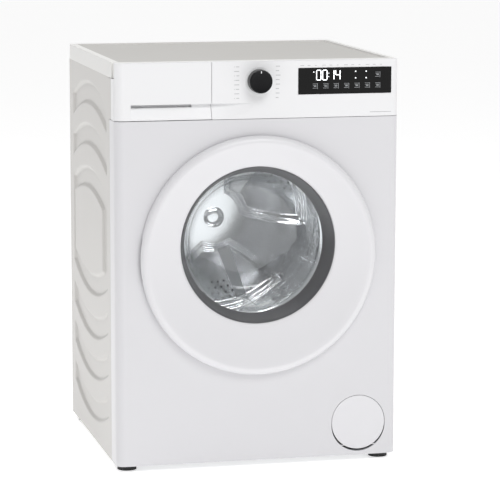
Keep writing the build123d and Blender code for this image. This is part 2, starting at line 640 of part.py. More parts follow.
with BuildPart() as tub_front:
    bar(0, DRUM_Z, TUB_R, (FRONT_WALL, FLANGE_DEPTH))
    bar(0, DRUM_Z, FLANGE_R, (FLANGE_DEPTH - 8, FLANGE_DEPTH))
    post(DRAIN_HOSE[0], DRAIN_HOSE[1], 12, (285, 420))
    post(FILL_HOSE[0], FILL_HOSE[1], 12, (520, 655))
    post(-DAMPER_X, DAMPER_DEPTHS[0], 9, (270, 400))
    post(DAMPER_X, DAMPER_DEPTHS[0], 9, (270, 400))
    bar(0, DRUM_Z, TUB_R - TUB_WALL, (FRONT_WALL + TUB_WALL, FLANGE_DEPTH + 5), Mode.SUBTRACT)
    bar(0, DRUM_Z, OPENING_R + 3, (FRONT_WALL - 8, FRONT_WALL + 1))
    bar(0, DRUM_Z, OPENING_R, (0, FRONT_WALL + 10), Mode.SUBTRACT)
    post(DRAIN_HOSE[0], DRAIN_HOSE[1], 9.5, (280, 370), Mode.SUBTRACT)
    post(FILL_HOSE[0], FILL_HOSE[1], 9.5, (560, 660), Mode.SUBTRACT)
    for number in range(12):
        spot = Vector(BOLT_CIRCLE_R, 0, 0).rotate(Axis.Z, 15 + 30 * number)
        bar(spot.X, DRUM_Z + spot.Y, 3.2, (FLANGE_DEPTH - 20, FLANGE_DEPTH + 5), Mode.SUBTRACT)
    for x in (-22, 22):
        bar(x, DRUM_Z - 242.8, 3.5, (FRONT_WALL - 5, FRONT_WALL + 6), Mode.SUBTRACT)
finish(tub_front.part, "tub_front")

with BuildPart() as tub_rear:
    bar(0, DRUM_Z, TUB_R, (FLANGE_DEPTH, REAR_WALL + 8))
    bar(0, DRUM_Z, FLANGE_R, (FLANGE_DEPTH, FLANGE_DEPTH + 8))
    post(-DAMPER_X, DAMPER_DEPTHS[1], 9, (270, 400))
    post(DAMPER_X, DAMPER_DEPTHS[1], 9, (270, 400))
    for span in ((345, 360), (440, 455)):
        block((MOTOR_X - 14, MOTOR_X + 14), span, (MOTOR_Z + 55, 300))
    for side in (-1, 1):
        lug_x = sorted((side * 150, side * 284))
        block(lug_x, (SPRING_DEPTH, SPRING_DEPTH + 14), (SPRING_LOW_Z - 8, SPRING_LOW_Z))
    bar(MOTOR_X, MOTOR_Z, MOTOR_R + 0.3, (FLANGE_DEPTH, REAR_WALL + 20), Mode.SUBTRACT)
    bar(0, DRUM_Z, TUB_R - TUB_WALL, (FLANGE_DEPTH - 5, REAR_WALL), Mode.SUBTRACT)
    bar(0, DRUM_Z, 45, (REAR_WALL + 2, BEARING_REAR[1]))
    for number in range(8):
        angle = 22.5 + 45 * number
        with Locations(Location((0, FRONT_Y + REAR_WALL + 18, DRUM_Z), (0, angle, 0))):
            Box(2 * (TUB_R - 15), 22, 4)
    bar(0, DRUM_Z, 31.02, (0, BEARING_FRONT[1]), Mode.SUBTRACT)
    bar(0, DRUM_Z, 20, (0, DEPTH), Mode.SUBTRACT)
    bar(0, DRUM_Z, 26.02, (BEARING_REAR[0], DEPTH), Mode.SUBTRACT)
    for number in range(12):
        spot = Vector(BOLT_CIRCLE_R, 0, 0).rotate(Axis.Z, 15 + 30 * number)
        bar(spot.X, DRUM_Z + spot.Y, 3.2, (FLANGE_DEPTH - 5, FLANGE_DEPTH + 20), Mode.SUBTRACT)
finish(tub_rear.part, "tub_rear")

with BuildPart() as tub_bolts:
    for number in range(12):
        spot = Vector(BOLT_CIRCLE_R, 0, 0).rotate(Axis.Z, 15 + 30 * number)
        bar(spot.X, DRUM_Z + spot.Y, 3, (FLANGE_DEPTH - 8, FLANGE_DEPTH + 12))
        bar(spot.X, DRUM_Z + spot.Y, 5, (FLANGE_DEPTH - 13, FLANGE_DEPTH - 8))
finish(tub_bolts.part, "tub_bolts")

with BuildPart() as drum_bearings:
    bar(0, DRUM_Z, 31, BEARING_FRONT)
    bar(0, DRUM_Z, 26, BEARING_REAR)
    bar(0, DRUM_Z, SHAFT_R + 0.05, (0, BEARING_FRONT[1] + 1), Mode.SUBTRACT)
    bar(0, DRUM_Z, 12.5, (BEARING_FRONT[1], DEPTH), Mode.SUBTRACT)
finish(drum_bearings.part, "drum_bearings")

with BuildPart() as door_gasket:
    turned(
        [
            (168, 12),
            (171.6, 12),
            (171.6, 20.4),
            (173.4, 20.4),
            (173.4, 15.4),
            (177, 15.4),
            (177, 24),
            (182, 28),
            (182, 50),
            (160, 62),
            (160, 66),
            (176, 78),
            (176, 99),
            (171.4, 99),
            (171.4, 91.5),
            (167, 91.5),
            (167, 80),
            (156, 68),
            (156, 58),
            (178, 46),
            (178, 31),
            (168, 26),
        ]
    )
finish(door_gasket.part, "door_gasket")

with BuildPart() as counterweight_top:
    block((-90, 150), (115, 275), (670, 788))
    fillet(counterweight_top.edges().filter_by(Axis.Z), 12)
    bar(0, DRUM_Z, TUB_R + 0.2, (0, DEPTH), Mode.SUBTRACT)
finish(counterweight_top.part, "counterweight_top")

with BuildPart() as counterweight_front:
    turned([(180, 68), (225, 68), (225, FRONT_WALL), (180, FRONT_WALL)])
    block((-HALF, HALF), (0, DEPTH), (DRUM_Z - 40, HEIGHT), Mode.SUBTRACT)
finish(counterweight_front.part, "counterweight_front")

HEATER_Z = DRUM_Z - 242.8
HEATER_R = 3.2
with BuildPart() as heater:
    for x in (-22, 22):
        bar(x, HEATER_Z, HEATER_R, (FRONT_WALL - 16, 285))
    pin_across((-22, 22), 282, HEATER_Z, HEATER_R)
    block((-34, 34), (FRONT_WALL - 5, FRONT_WALL), (HEATER_Z - 9, HEATER_Z + 9))
finish(heater.part, "heater")

with BuildPart() as motor_body:
    bar(MOTOR_X, MOTOR_Z, MOTOR_R, (330, 475))
    bar(MOTOR_X, MOTOR_Z, 25, (475, 485))
    bar(MOTOR_X, MOTOR_Z, 40, (334, 471), Mode.SUBTRACT)
    bar(MOTOR_X, MOTOR_Z, 6.05, (300, 500), Mode.SUBTRACT)
finish(motor_body.part, "motor_body")

with BuildPart() as motor_rotor:
    bar(MOTOR_X, MOTOR_Z, 6, (332, BELT_PLANE + 12))
    bar(MOTOR_X, MOTOR_Z, 38, (345, 460))
    bar(MOTOR_X, MOTOR_Z, MOTOR_PULLEY_R, (BELT_PLANE - 9, BELT_PLANE + 9))
finish(motor_rotor.part, "motor_rotor")

with BuildPart() as drive_belt:
    with BuildSketch(front_plane(BELT_PLANE - BELT_WIDTH / 2)) as outer_loop:
        with Locations((0, DRUM_Z)):
            Circle(PULLEY_R + 3.4)
        with Locations((MOTOR_X, MOTOR_Z)):
            Circle(MOTOR_PULLEY_R + 3.4)
        make_hull()
    with BuildSketch(front_plane(BELT_PLANE - BELT_WIDTH / 2)) as inner_loop:
        with Locations((0, DRUM_Z)):
            Circle(PULLEY_R + 0.4)
        with Locations((MOTOR_X, MOTOR_Z)):
            Circle(MOTOR_PULLEY_R + 0.4)
        make_hull()
    extrude(outer_loop.sketch, amount=-BELT_WIDTH)
    extrude(inner_loop.sketch, amount=-BELT_WIDTH, mode=Mode.SUBTRACT)
finish(drive_belt.part, "drive_belt")

# ---------------------------------------------------------------- springs, dampers and hoses
with BuildPart() as suspension_springs:
    for x in (-SPRING_X, SPRING_X):
        post(x, SPRING_DEPTH + 7, 9.5, (SPRING_LOW_Z, SPRING_HIGH_Z))
        post(x, SPRING_DEPTH + 7, 6.5, (SPRING_LOW_Z + 15, SPRING_HIGH_Z - 15), Mode.SUBTRACT)
finish(suspension_springs.part, "suspension_springs")

with BuildPart() as damper_cylinders:
    for depth in DAMPER_DEPTHS:
        for x in (-DAMPER_X, DAMPER_X):
            post(x, depth, 14, (UNDERSIDE_Z + SHEET + 3, 190))
            post(x, depth, 5.5, (90, 191), Mode.SUBTRACT)
finish(damper_cylinders.part, "damper_cylinders")

with BuildPart() as damper_rods:
    for depth in DAMPER_DEPTHS:
        for x in (-DAMPER_X, DAMPER_X):
            post(x, depth, 5, (108, 270))
finish(damper_rods.part, "damper_rods")

with BuildPart() as tub_hoses:
    for place, span in ((DRAIN_HOSE, (122, 305)), (FILL_HOSE, (651, 730))):
        post(place[0], place[1], 16, span)
        post(place[0], place[1], 12.4, (span[0] - 1, span[1] + 1), Mode.SUBTRACT)
finish(tub_hoses.part, "tub_hoses")

# ---------------------------------------------------------------- drum
with BuildPart() as drum_shell:
    turned(
        [
            (160, DRUM_FRONT),
            (DRUM_R, DRUM_FRONT),
            (DRUM_R, DRUM_BACK),
            (DRUM_R - 1.2, DRUM_BACK),
            (DRUM_R - 1.2, DRUM_FRONT + 1.2),
            (161.2, DRUM_FRONT + 1.2),
            (161.2, DRUM_FRONT + 10),
            (160, DRUM_FRONT + 10),
        ]
    )
finish(drum_shell.part, "drum_shell")

BACK_SHEET = 1.2
with BuildPart() as drum_back:
    turned(
        [
            (0, DRUM_BACK - 20),
            (12, DRUM_BACK - 17),
            (20, DRUM_BACK - 8),
            (24, DRUM_BACK),
            (DRUM_R, DRUM_BACK),
            (DRUM_R, DRUM_BACK + BACK_SHEET),
            (23, DRUM_BACK + BACK_SHEET),
            (19, DRUM_BACK - 7),
            (11, DRUM_BACK - 15.6),
            (0, DRUM_BACK - 18.5),
        ]
    )
finish(drum_back.part, "drum_back")

LIFTER_HALF = 34
with BuildPart() as drum_lifters:
    for number in range(3):
        with BuildSketch(front_plane(130, 0, DRUM_Z)) as section:
            with BuildLine():
                Polyline((-LIFTER_HALF, 224), (-12, 180), (12, 180), (LIFTER_HALF, 224), close=True)
            make_face()
            fillet(section.vertices().group_by(Axis.Z)[0], 8)
        turned_section = section.sketch.rotate(Axis((0, 0, DRUM_Z), (0, 1, 0)), 100 + 120 * number)
        extrude(turned_section, amount=-295, dir=(0, -1, 0))
finish(drum_lifters.part, "drum_lifters")

SPIDER_FRONT = DRUM_BACK + BACK_SHEET
with BuildPart() as drum_spider:
    bar(0, DRUM_Z, 30, (SPIDER_FRONT, SPIDER_FRONT + 9))
    for number in range(3):
        with BuildSketch(front_plane(SPIDER_FRONT, 0, DRUM_Z)) as arm:
            with BuildLine():
                Polyline((-16, 0), (-11, 222), (11, 222), (16, 0), close=True)
            make_face()
        arm_face = arm.sketch.rotate(Axis((0, 0, DRUM_Z), (0, 1, 0)), 40 + 120 * number)
        extrude(arm_face, amount=9, dir=(0, 1, 0))
    bar(0, DRUM_Z, 15, (SPIDER_FRONT - 1, SPIDER_FRONT + 20), Mode.SUBTRACT)
finish(drum_spider.part, "drum_spider")

with BuildPart() as drum_shaft:
    bar(0, DRUM_Z, SHAFT_R, (SPIDER_FRONT, BEARING_FRONT[1] + 2))
    bar(0, DRUM_Z, 12.45, (BEARING_FRONT[1], BEARING_REAR[1] + 2))
    bar(0, DRUM_Z, 10, (BEARING_REAR[1], BELT_PLANE + 14))
finish(drum_shaft.part, "drum_shaft")

with BuildPart() as drum_pulley:
    bar(0, DRUM_Z, PULLEY_R, (BELT_PLANE - 7, BELT_PLANE + 7))
    bar(0, DRUM_Z, PULLEY_R - 10, (BELT_PLANE - 8, BELT_PLANE + 8), Mode.SUBTRACT)
    bar(0, DRUM_Z, 22, (BELT_PLANE - 9, BELT_PLANE + 9))
    for number in range(3):
        with Locations(Location((0, FRONT_Y + BELT_PLANE, DRUM_Z), (0, 60 * number, 0))):
            Box(2 * PULLEY_R - 10, 6, 16)
    bar(0, DRUM_Z, 10, (BELT_PLANE - 10, BELT_PLANE + 10), Mode.SUBTRACT)
finish(drum_pulley.part, "drum_pulley")

# ---------------------------------------------------------------- drain pump, filter and cover
VOLUTE = (95, 140)
with BuildPart() as pump_housing:
    bar(FILTER_X, FILTER_Z, 34, (14, VOLUTE[0]))
    bar(FILTER_X, FILTER_Z, 63, (2, 32))
    bar(FILTER_X, FILTER_Z, 61, (1, 30), Mode.SUBTRACT)
    bar(FILTER_X, FILTER_Z, 34, (14, VOLUTE[1]))
    post(DRAIN_HOSE[0], DRAIN_HOSE[1], 12, (100, 140))
    block((200, 235), (100, 130), (UNDERSIDE_Z + SHEET + 3, 60))
    bar(FILTER_X, FILTER_Z, 26, (VOLUTE[1], 175))
    for side in (-1, 1):
        ear_x = sorted((FILTER_X + side * 34.5, FILTER_X + side * 41))
        block(ear_x, (1.4, 6), (COVER_PIVOT_Z - 3, COVER_PIVOT_Z + 2))
    bar(FILTER_X, FILTER_Z, 30, (0, VOLUTE[0]), Mode.SUBTRACT)
    bar(FILTER_X, FILTER_Z, 24, (VOLUTE[0] - 1, VOLUTE[1] - 4), Mode.SUBTRACT)
    bar(FILTER_X, FILTER_Z, 3.05, (VOLUTE[1] - 5, 160), Mode.SUBTRACT)
    post(DRAIN_HOSE[0], DRAIN_HOSE[1], 9.5, (95, 141), Mode.SUBTRACT)
    pin_across((170, 265), COVER_PIVOT_DEPTH, COVER_PIVOT_Z, COVER_PIN_R + 0.06, Mode.SUBTRACT)
finish(pump_housing.part, "pump_housing")

with BuildPart() as filter_cover:
    bar(FILTER_X, FILTER_Z, FILTER_COVER_R, (0, 2.5))
    pin_across((FILTER_X - 39, FILTER_X + 39), COVER_PIVOT_DEPTH, COVER_PIVOT_Z, COVER_PIN_R)
finish(filter_cover.part, "filter_cover")

with BuildPart() as drain_filter:
    bar(FILTER_X, FILTER_Z, 29.6, (12, 20))
    block((FILTER_X - 24, FILTER_X + 24), (6, 13), (FILTER_Z - 4, FILTER_Z + 4))
    bar(FILTER_X, FILTER_Z, 22, (20, 88))
    bar(FILTER_X, FILTER_Z, 19, (24, 90), Mode.SUBTRACT)
finish(drain_filter.part, "drain_filter")

with BuildPart() as pump_impeller:
    bar(FILTER_X, FILTER_Z, 3, (100, 158))
    bar(FILTER_X, FILTER_Z, 20, (128, 131))
    for number in range(3):
        with Locations(Location((FILTER_X, FRONT_Y + 117, FILTER_Z), (0, 60 * number, 0))):
            Box(38, 24, 2.5)
finish(pump_impeller.part, "pump_impeller")
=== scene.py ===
import json
import math

import bmesh
import bpy
from mathutils import Matrix, Vector


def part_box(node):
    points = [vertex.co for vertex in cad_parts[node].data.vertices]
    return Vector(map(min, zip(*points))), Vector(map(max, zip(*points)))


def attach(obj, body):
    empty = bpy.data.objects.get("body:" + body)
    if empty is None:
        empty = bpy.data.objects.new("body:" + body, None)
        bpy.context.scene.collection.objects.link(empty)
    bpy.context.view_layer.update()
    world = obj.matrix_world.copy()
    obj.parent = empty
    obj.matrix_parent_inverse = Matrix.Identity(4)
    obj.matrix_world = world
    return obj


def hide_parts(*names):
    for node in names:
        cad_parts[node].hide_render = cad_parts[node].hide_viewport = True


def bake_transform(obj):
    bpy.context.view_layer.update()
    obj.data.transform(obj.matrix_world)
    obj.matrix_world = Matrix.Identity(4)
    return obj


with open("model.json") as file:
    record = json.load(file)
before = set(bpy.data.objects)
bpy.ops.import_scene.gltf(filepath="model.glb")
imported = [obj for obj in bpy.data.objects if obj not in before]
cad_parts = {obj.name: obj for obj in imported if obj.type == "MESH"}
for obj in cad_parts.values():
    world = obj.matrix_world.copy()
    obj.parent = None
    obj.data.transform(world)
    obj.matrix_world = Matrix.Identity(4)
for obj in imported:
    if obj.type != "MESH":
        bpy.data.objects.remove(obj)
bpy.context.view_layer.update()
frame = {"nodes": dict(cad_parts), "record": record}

NODES = frame["nodes"]
MM = 0.001

# ---------------------------------------------------------------- driving places, in mm, read from the frame


def corners(node):
    """Lowest and highest corner of a node, in mm."""
    low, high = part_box(node)
    return [v / MM for v in low], [v / MM for v in high]


FRONT_Y = corners("front_panel")[0][1]
RING_LOW, RING_HIGH = corners("door_ring")
DOOR_Z = (RING_LOW[2] + RING_HIGH[2]) / 2
DOOR_R = (RING_HIGH[2] - RING_LOW[2]) / 2
DRUM_LOW, DRUM_HIGH = corners("drum_shell")
DRUM_Z = (DRUM_LOW[2] + DRUM_HIGH[2]) / 2
DRUM_R = (DRUM_HIGH[2] - DRUM_LOW[2]) / 2
DRUM_FRONT = DRUM_LOW[1] - FRONT_Y
DRUM_BACK = DRUM_HIGH[1] - FRONT_Y
TRIM_END = corners("door_trim")[1][1] - FRONT_Y
KNOB_LOW, KNOB_HIGH = corners("program_knob")
KNOB_Z = (KNOB_LOW[2] + KNOB_HIGH[2]) / 2
KNOB_R = (KNOB_HIGH[2] - KNOB_LOW[2]) / 2
KNOB_FRONT = KNOB_LOW[1] - FRONT_Y
DISPLAY_FACE = corners("display_glass")[0][1] - FRONT_Y


def at(x, depth, z):
    """A point in metres from x, the depth behind the front panel, and the height."""
    return Vector((x * MM, (FRONT_Y + depth) * MM, z * MM))


# ---------------------------------------------------------------- mesh helpers


def new_object(name, verts, faces, smooth=True):
    mesh = bpy.data.meshes.new(name)
    mesh.from_pydata([tuple(v) for v in verts], [], faces)
    mesh.validate()
    bm = bmesh.new()
    bm.from_mesh(mesh)
    bmesh.ops.recalc_face_normals(bm, faces=bm.faces)
    bm.to_mesh(mesh)
    bm.free()
    obj = bpy.data.objects.new(name, mesh)
    bpy.context.scene.collection.objects.link(obj)
    if smooth:
        mesh.polygons.foreach_set("use_smooth", [True] * len(mesh.polygons))
    return obj


def sharpen(obj, degrees=40):
    """Keep edges steeper than the angle sharp in the shading."""
    bm = bmesh.new()
    bm.from_mesh(obj.data)
    limit = math.radians(degrees)
    for edge in bm.edges:
        if len(edge.link_faces) == 2 and edge.calc_face_angle(0) > limit:
            edge.smooth = False
    bm.to_mesh(obj.data)
    bm.free()
    return obj


def lathe(name, profile, z=None, segments=160):
    """A ring turned about a front-to-back axis; the profile's points are (radius, depth)."""
    z = DRUM_Z if z is None else z
    verts = []
    for i in range(segments):
        turn = 2 * math.pi * i / segments
        for radius, depth in profile:
            verts.append(at(radius * math.cos(turn), depth, z + radius * math.sin(turn)))
    rows = len(profile)
    faces = []
    for i in range(segments):
        j = (i + 1) % segments
        for k in range(rows):
            m = (k + 1) % rows
            faces.append((i * rows + k, j * rows + k, j * rows + m, i * rows + m))
    obj = new_object(name, verts, faces)
    weld(obj)
    return sharpen(obj)


def weld(obj, distance=1e-6):
    bm = bmesh.new()
    bm.from_mesh(obj.data)
    bmesh.ops.remove_doubles(bm, verts=bm.verts, dist=distance)
    bmesh.ops.recalc_face_normals(bm, faces=bm.faces)
    bm.to_mesh(obj.data)
    bm.free()


def sheet_from_grid(name, rows, thickness, inward):
    """A closed sheet of metal from a grid of points, thickened along one direction."""
    count_r, count_c = len(rows), len(rows[0])
    front = [p for row in rows for p in row]
    back = [p + inward * thickness for p in front]
    verts = front + back
    n = len(front)
    faces = []
    for r in range(count_r - 1):
        for c in range(count_c - 1):
            a = r * count_c + c
            quad = (a, a + 1, a + count_c + 1, a + count_c)
            faces.append(quad)
            faces.append(tuple(n + v for v in reversed(quad)))
    rim = list(range(count_c))
    rim += [r * count_c + count_c - 1 for r in range(1, count_r)]
    rim += [(count_r - 1) * count_c + c for c in range(count_c - 2, -1, -1)]
    rim += [r * count_c for r in range(count_r - 2, 0, -1)]
    for a, b in zip(rim, rim[1:] + rim[:1]):
        faces.append((a, b, n + b, n + a))
    return sharpen(new_object(name, verts, faces), 50)


def tube(name, path, radius, sides=12):
    """A round tube along a list of points in metres."""
    verts, faces = [], []
    count = len(path)
    side = Vector((1, 0, 0))
    for i, p in enumerate(path):
        ahead = path[min(i + 1, count - 1)]
        behind = path[max(i - 1, 0)]
        along = (ahead - behind).normalized()
        side = (side - along * side.dot(along)).normalized()
        other = along.cross(side)
        for k in range(sides):
            turn = 2 * math.pi * k / sides
            verts.append(p + (side * math.cos(turn) + other * math.sin(turn)) * radius)
    for i in range(count - 1):
        for k in range(sides):
            m = (k + 1) % sides
            faces.append((i * sides + k, i * sides + m, (i + 1) * sides + m, (i + 1) * sides + k))
    faces.append(tuple(range(sides - 1, -1, -1)))
    faces.append(tuple((count - 1) * sides + k for k in range(sides)))
    return sharpen(new_object(name, verts, faces), 50)


def boxes(name, spans, bevel=0.0, segments=2):
    """One mesh of several boxes, each given by its spans in x, depth and height."""
    bm = bmesh.new()
    for x, depth, z in spans:
        made = bmesh.ops.create_cube(bm, size=1.0)
        size = Vector(((x[1] - x[0]) * MM, (depth[1] - depth[0]) * MM, (z[1] - z[0]) * MM))
        middle = at((x[0] + x[1]) / 2, (depth[0] + depth[1]) / 2, (z[0] + z[1]) / 2)
        for v in made["verts"]:
            v.co = Vector((v.co.x * size.x, v.co.y * size.y, v.co.z * size.z)) + middle
    if bevel:
        bmesh.ops.bevel(bm, geom=bm.edges[:], offset=bevel * MM, segments=segments, affect="EDGES")
    mesh = bpy.data.meshes.new(name)
    bm.to_mesh(mesh)
    bm.free()
    obj = bpy.data.objects.new(name, mesh)
    bpy.context.scene.collection.objects.link(obj)
    return obj


def smoothstep(t):
    t = max(0.0, min(1.0, t))
    return t * t * (3 - 2 * t)


# ---------------------------------------------------------------- materials


def material(
    name, colour, roughness, metallic=0.0, grain=400.0, bump=0.02, tint=0.02, wear=0.05, coat=0.0,
    specular=0.5,
):
    """A surface with slight colour and roughness variation and a fine moulded or painted texture."""
    mat = bpy.data.materials.new(name)
    mat.use_nodes = True
    nodes, links = mat.node_tree.nodes, mat.node_tree.links
    shader = nodes["Principled BSDF"]
    shader.inputs["Metallic"].default_value = metallic
    shader.inputs["Coat Weight"].default_value = coat
    shader.inputs["Specular IOR Level"].default_value = specular
    shader.inputs["Coat Roughness"].default_value = 0.08
    place = nodes.new("ShaderNodeTexCoord")
    broad = nodes.new("ShaderNodeTexNoise")
    broad.inputs["Scale"].default_value = 9.0
    broad.inputs["Detail"].default_value = 3.0
    fine = nodes.new("ShaderNodeTexNoise")
    fine.inputs["Scale"].default_value = grain
    fine.inputs["Detail"].default_value = 2.0
    links.new(place.outputs["Object"], broad.inputs["Vector"])
    links.new(place.outputs["Object"], fine.inputs["Vector"])
    ramp = nodes.new("ShaderNodeMix")
    ramp.data_type = "RGBA"
    ramp.inputs["A"].default_value = [max(0.0, c * (1 - tint)) for c in colour] + [1]
    ramp.inputs["B"].default_value = [min(1.0, c * (1 + tint)) for c in colour] + [1]
    links.new(broad.outputs["Fac"], ramp.inputs["Factor"])
    links.new(ramp.outputs["Result"], shader.inputs["Base Color"])
    spread = nodes.new("ShaderNodeMapRange")
    spread.inputs["To Min"].default_value = max(0.02, roughness - wear)
    spread.inputs["To Max"].default_value = roughness + wear
    links.new(broad.outputs["Fac"], spread.inputs["Value"])
    links.new(spread.outputs["Result"], shader.inputs["Roughness"])
    relief = nodes.new("ShaderNodeBump")
    relief.inputs["Strength"].default_value = bump
    relief.inputs["Distance"].default_value = 0.0006
    links.new(fine.outputs["Fac"], relief.inputs["Height"])
    links.new(relief.outputs["Normal"], shader.inputs["Normal"])
    return mat


def brushed(name, colour, roughness, stretch=(1, 60, 60), grain=90.0, bump=0.06, metallic=1.0):
    """Metal with fine drawn lines: the noise is squeezed across the grain."""
    mat = material(name, colour, roughness, metallic, grain, bump, 0.04, 0.06)
    nodes, links = mat.node_tree.nodes, mat.node_tree.links
    fine = [n for n in nodes if n.bl_idname == "ShaderNodeTexNoise"][1]
    place = next(n for n in nodes if n.bl_idname == "ShaderNodeTexCoord")
    squeeze = nodes.new("ShaderNodeMapping")
    squeeze.inputs["Scale"].default_value = stretch
    links.new(place.outputs["Object"], squeeze.inputs["Vector"])
    links.new(squeeze.outputs["Vector"], fine.inputs["Vector"])
    return mat


def spangled(name, colour, roughness):
    """Galvanised sheet with its crystal spangle."""
    mat = material(name, colour, roughness, 0.9, 300.0, 0.03, 0.05, 0.05)
    nodes, links = mat.node_tree.nodes, mat.node_tree.links
    place = next(n for n in nodes if n.bl_idname == "ShaderNodeTexCoord")
    cells = nodes.new("ShaderNodeTexVoronoi")
    cells.inputs["Scale"].default_value = 150.0
    links.new(place.outputs["Object"], cells.inputs["Vector"])
    tone = nodes.new("ShaderNodeMix")
    tone.data_type = "RGBA"
    tone.inputs["A"].default_value = [c * 0.92 for c in colour] + [1]
    tone.inputs["B"].default_value = [min(1, c * 1.06) for c in colour] + [1]
    level = nodes.new("ShaderNodeSeparateColor")
    links.new(cells.outputs["Color"], level.inputs["Color"])
    links.new(level.outputs["Red"], tone.inputs["Factor"])
    links.new(tone.outputs["Result"], nodes["Principled BSDF"].inputs["Base Color"])
    return mat


def glass(name, tint, roughness):
    """Clear glass: it passes light straight through and mirrors the room at a slant."""
    mat = bpy.data.materials.new(name)
    mat.use_nodes = True
    nodes, links = mat.node_tree.nodes, mat.node_tree.links
    nodes.remove(nodes["Principled BSDF"])
    clear = nodes.new("ShaderNodeBsdfTransparent")
    clear.inputs["Color"].default_value = tint + [1]
    mirror = nodes.new("ShaderNodeBsdfGlossy")
    mirror.inputs["Color"].default_value = (0.95, 0.96, 0.96, 1)
    facing = nodes.new("ShaderNodeLayerWeight")
    facing.inputs["Blend"].default_value = 0.5
    slant = nodes.new("ShaderNodeMath")
    slant.operation = "POWER"
    slant.inputs[1].default_value = 3.0
    links.new(facing.outputs["Facing"], slant.inputs[0])
    share = nodes.new("ShaderNodeMapRange")
    share.inputs["To Min"].default_value = 0.04
    share.inputs["To Max"].default_value = 0.9
    links.new(slant.outputs["Value"], share.inputs["Value"])
    place = nodes.new("ShaderNodeTexCoord")
    smudge = nodes.new("ShaderNodeTexNoise")
    smudge.inputs["Scale"].default_value = 14.0
    links.new(place.outputs["Object"], smudge.inputs["Vector"])
    spread = nodes.new("ShaderNodeMapRange")
    spread.inputs["To Min"].default_value = roughness
    spread.inputs["To Max"].default_value = roughness + 0.03
    links.new(smudge.outputs["Fac"], spread.inputs["Value"])
    links.new(spread.outputs["Result"], mirror.inputs["Roughness"])
    blend = nodes.new("ShaderNodeMixShader")
    links.new(share.outputs["Result"], blend.inputs["Fac"])
    links.new(clear.outputs["BSDF"], blend.inputs[1])
    links.new(mirror.outputs["BSDF"], blend.inputs[2])
    links.new(blend.outputs["Shader"], nodes["Material Output"].inputs["Surface"])
    return mat


def glowing(name, colour, strength):
    mat = material(name, colour, 0.4, 0.0, 600.0, 0.01, 0.01, 0.02)
    shader = mat.node_tree.nodes["Principled BSDF"]
    shader.inputs["Emission Color"].default_value = colour + [1]
    shader.inputs["Emission Strength"].default_value = strength
    return mat


MATERIALS = {
    "cabinet_white": material(
        "cabinet_white", [0.685, 0.68, 0.70], 0.34, 0.0, 900.0, 0.05, 0.008, 0.03, 0.15
    ),
    # side_white is the cabinet's white paint made darker as painted shade, because the side panels get less
    # light
    "side_white": material("side_white", [0.60, 0.585, 0.565], 0.42, 0.0, 900.0, 0.05, 0.01, 0.03, 0.1),
    "galvanised": spangled("galvanised", [0.52, 0.53, 0.54], 0.42),
    "stainless": brushed("stainless", [0.86, 0.865, 0.875], 0.13, (60, 4, 60), 60.0, 0.03, 0.9),
    "steel": brushed("steel", [0.50, 0.50, 0.51], 0.32),
    "white_plastic": material("white_plastic", [0.81, 0.81, 0.82], 0.36, 0.0, 1500.0, 0.06, 0.006, 0.03),
    "worktop_plastic": material("worktop_plastic", [0.79, 0.785, 0.77], 0.5, 0.0, 1300.0, 0.12, 0.01, 0.04),
    "worktop_laminate": material("worktop_laminate", [0.53, 0.52, 0.50], 0.5, 0.0, 700.0, 0.10, 0.012, 0.05),
    "door_white": material("door_white", [0.735, 0.73, 0.75], 0.30, 0.0, 1500.0, 0.03, 0.006, 0.03, 0.1),
    "trim_grey": material("trim_grey", [0.12, 0.12, 0.125], 0.34, 0.0, 1500.0, 0.04, 0.03, 0.04),
    "clear_glass": glass("clear_glass", [0.97, 0.98, 0.985], 0.01),
    "black_glass": material(
        "black_glass", [0.004, 0.004, 0.004], 0.12, 0.0, 60.0, 0.002, 0.1, 0.02, 0.0, 0.22
    ),
    "tub_plastic": material("tub_plastic", [0.50, 0.51, 0.52], 0.55, 0.0, 500.0, 0.2, 0.04, 0.08),
    "grey_plastic": material("grey_plastic", [0.30, 0.31, 0.32], 0.5, 0.0, 900.0, 0.15, 0.04, 0.06),
    "blue_plastic": material("blue_plastic", [0.05, 0.16, 0.40], 0.3, 0.0, 900.0, 0.05, 0.03, 0.04),
    "board_green": material("board_green", [0.02, 0.13, 0.06], 0.4, 0.0, 240.0, 0.25, 0.15, 0.08),
    "gasket_rubber": material("gasket_rubber", [0.22, 0.225, 0.23], 0.6, 0.0, 600.0, 0.15, 0.06, 0.08),
    "black_rubber": material("black_rubber", [0.018, 0.018, 0.019], 0.65, 0.0, 500.0, 0.25, 0.15, 0.08),
    "concrete": material("concrete", [0.40, 0.39, 0.37], 0.9, 0.0, 160.0, 0.9, 0.14, 0.06),
    "cast_aluminium": material("cast_aluminium", [0.55, 0.56, 0.57], 0.5, 0.85, 300.0, 0.35, 0.06, 0.1),
    "motor_black": material("motor_black", [0.035, 0.035, 0.04], 0.4, 0.2, 300.0, 0.15, 0.1, 0.08),
}
SLOT_OF = {row["node"]: row["material_slot"] for row in frame["record"]["subparts"]}


def radial_black(name):
    """Turned black metal: the shine runs round the knob's axis."""
    mat = material(name, [0.010, 0.010, 0.011], 0.24, 0.3, 900.0, 0.03, 0.1, 0.05, 0.0, 0.2)
    nodes, links = mat.node_tree.nodes, mat.node_tree.links
    shader = nodes["Principled BSDF"]
    shader.inputs["Anisotropic"].default_value = 0.85
    around = nodes.new("ShaderNodeTangent")
    around.direction_type = "RADIAL"
    around.axis = "Y"
    links.new(around.outputs["Tangent"], shader.inputs["Tangent"])
    return mat


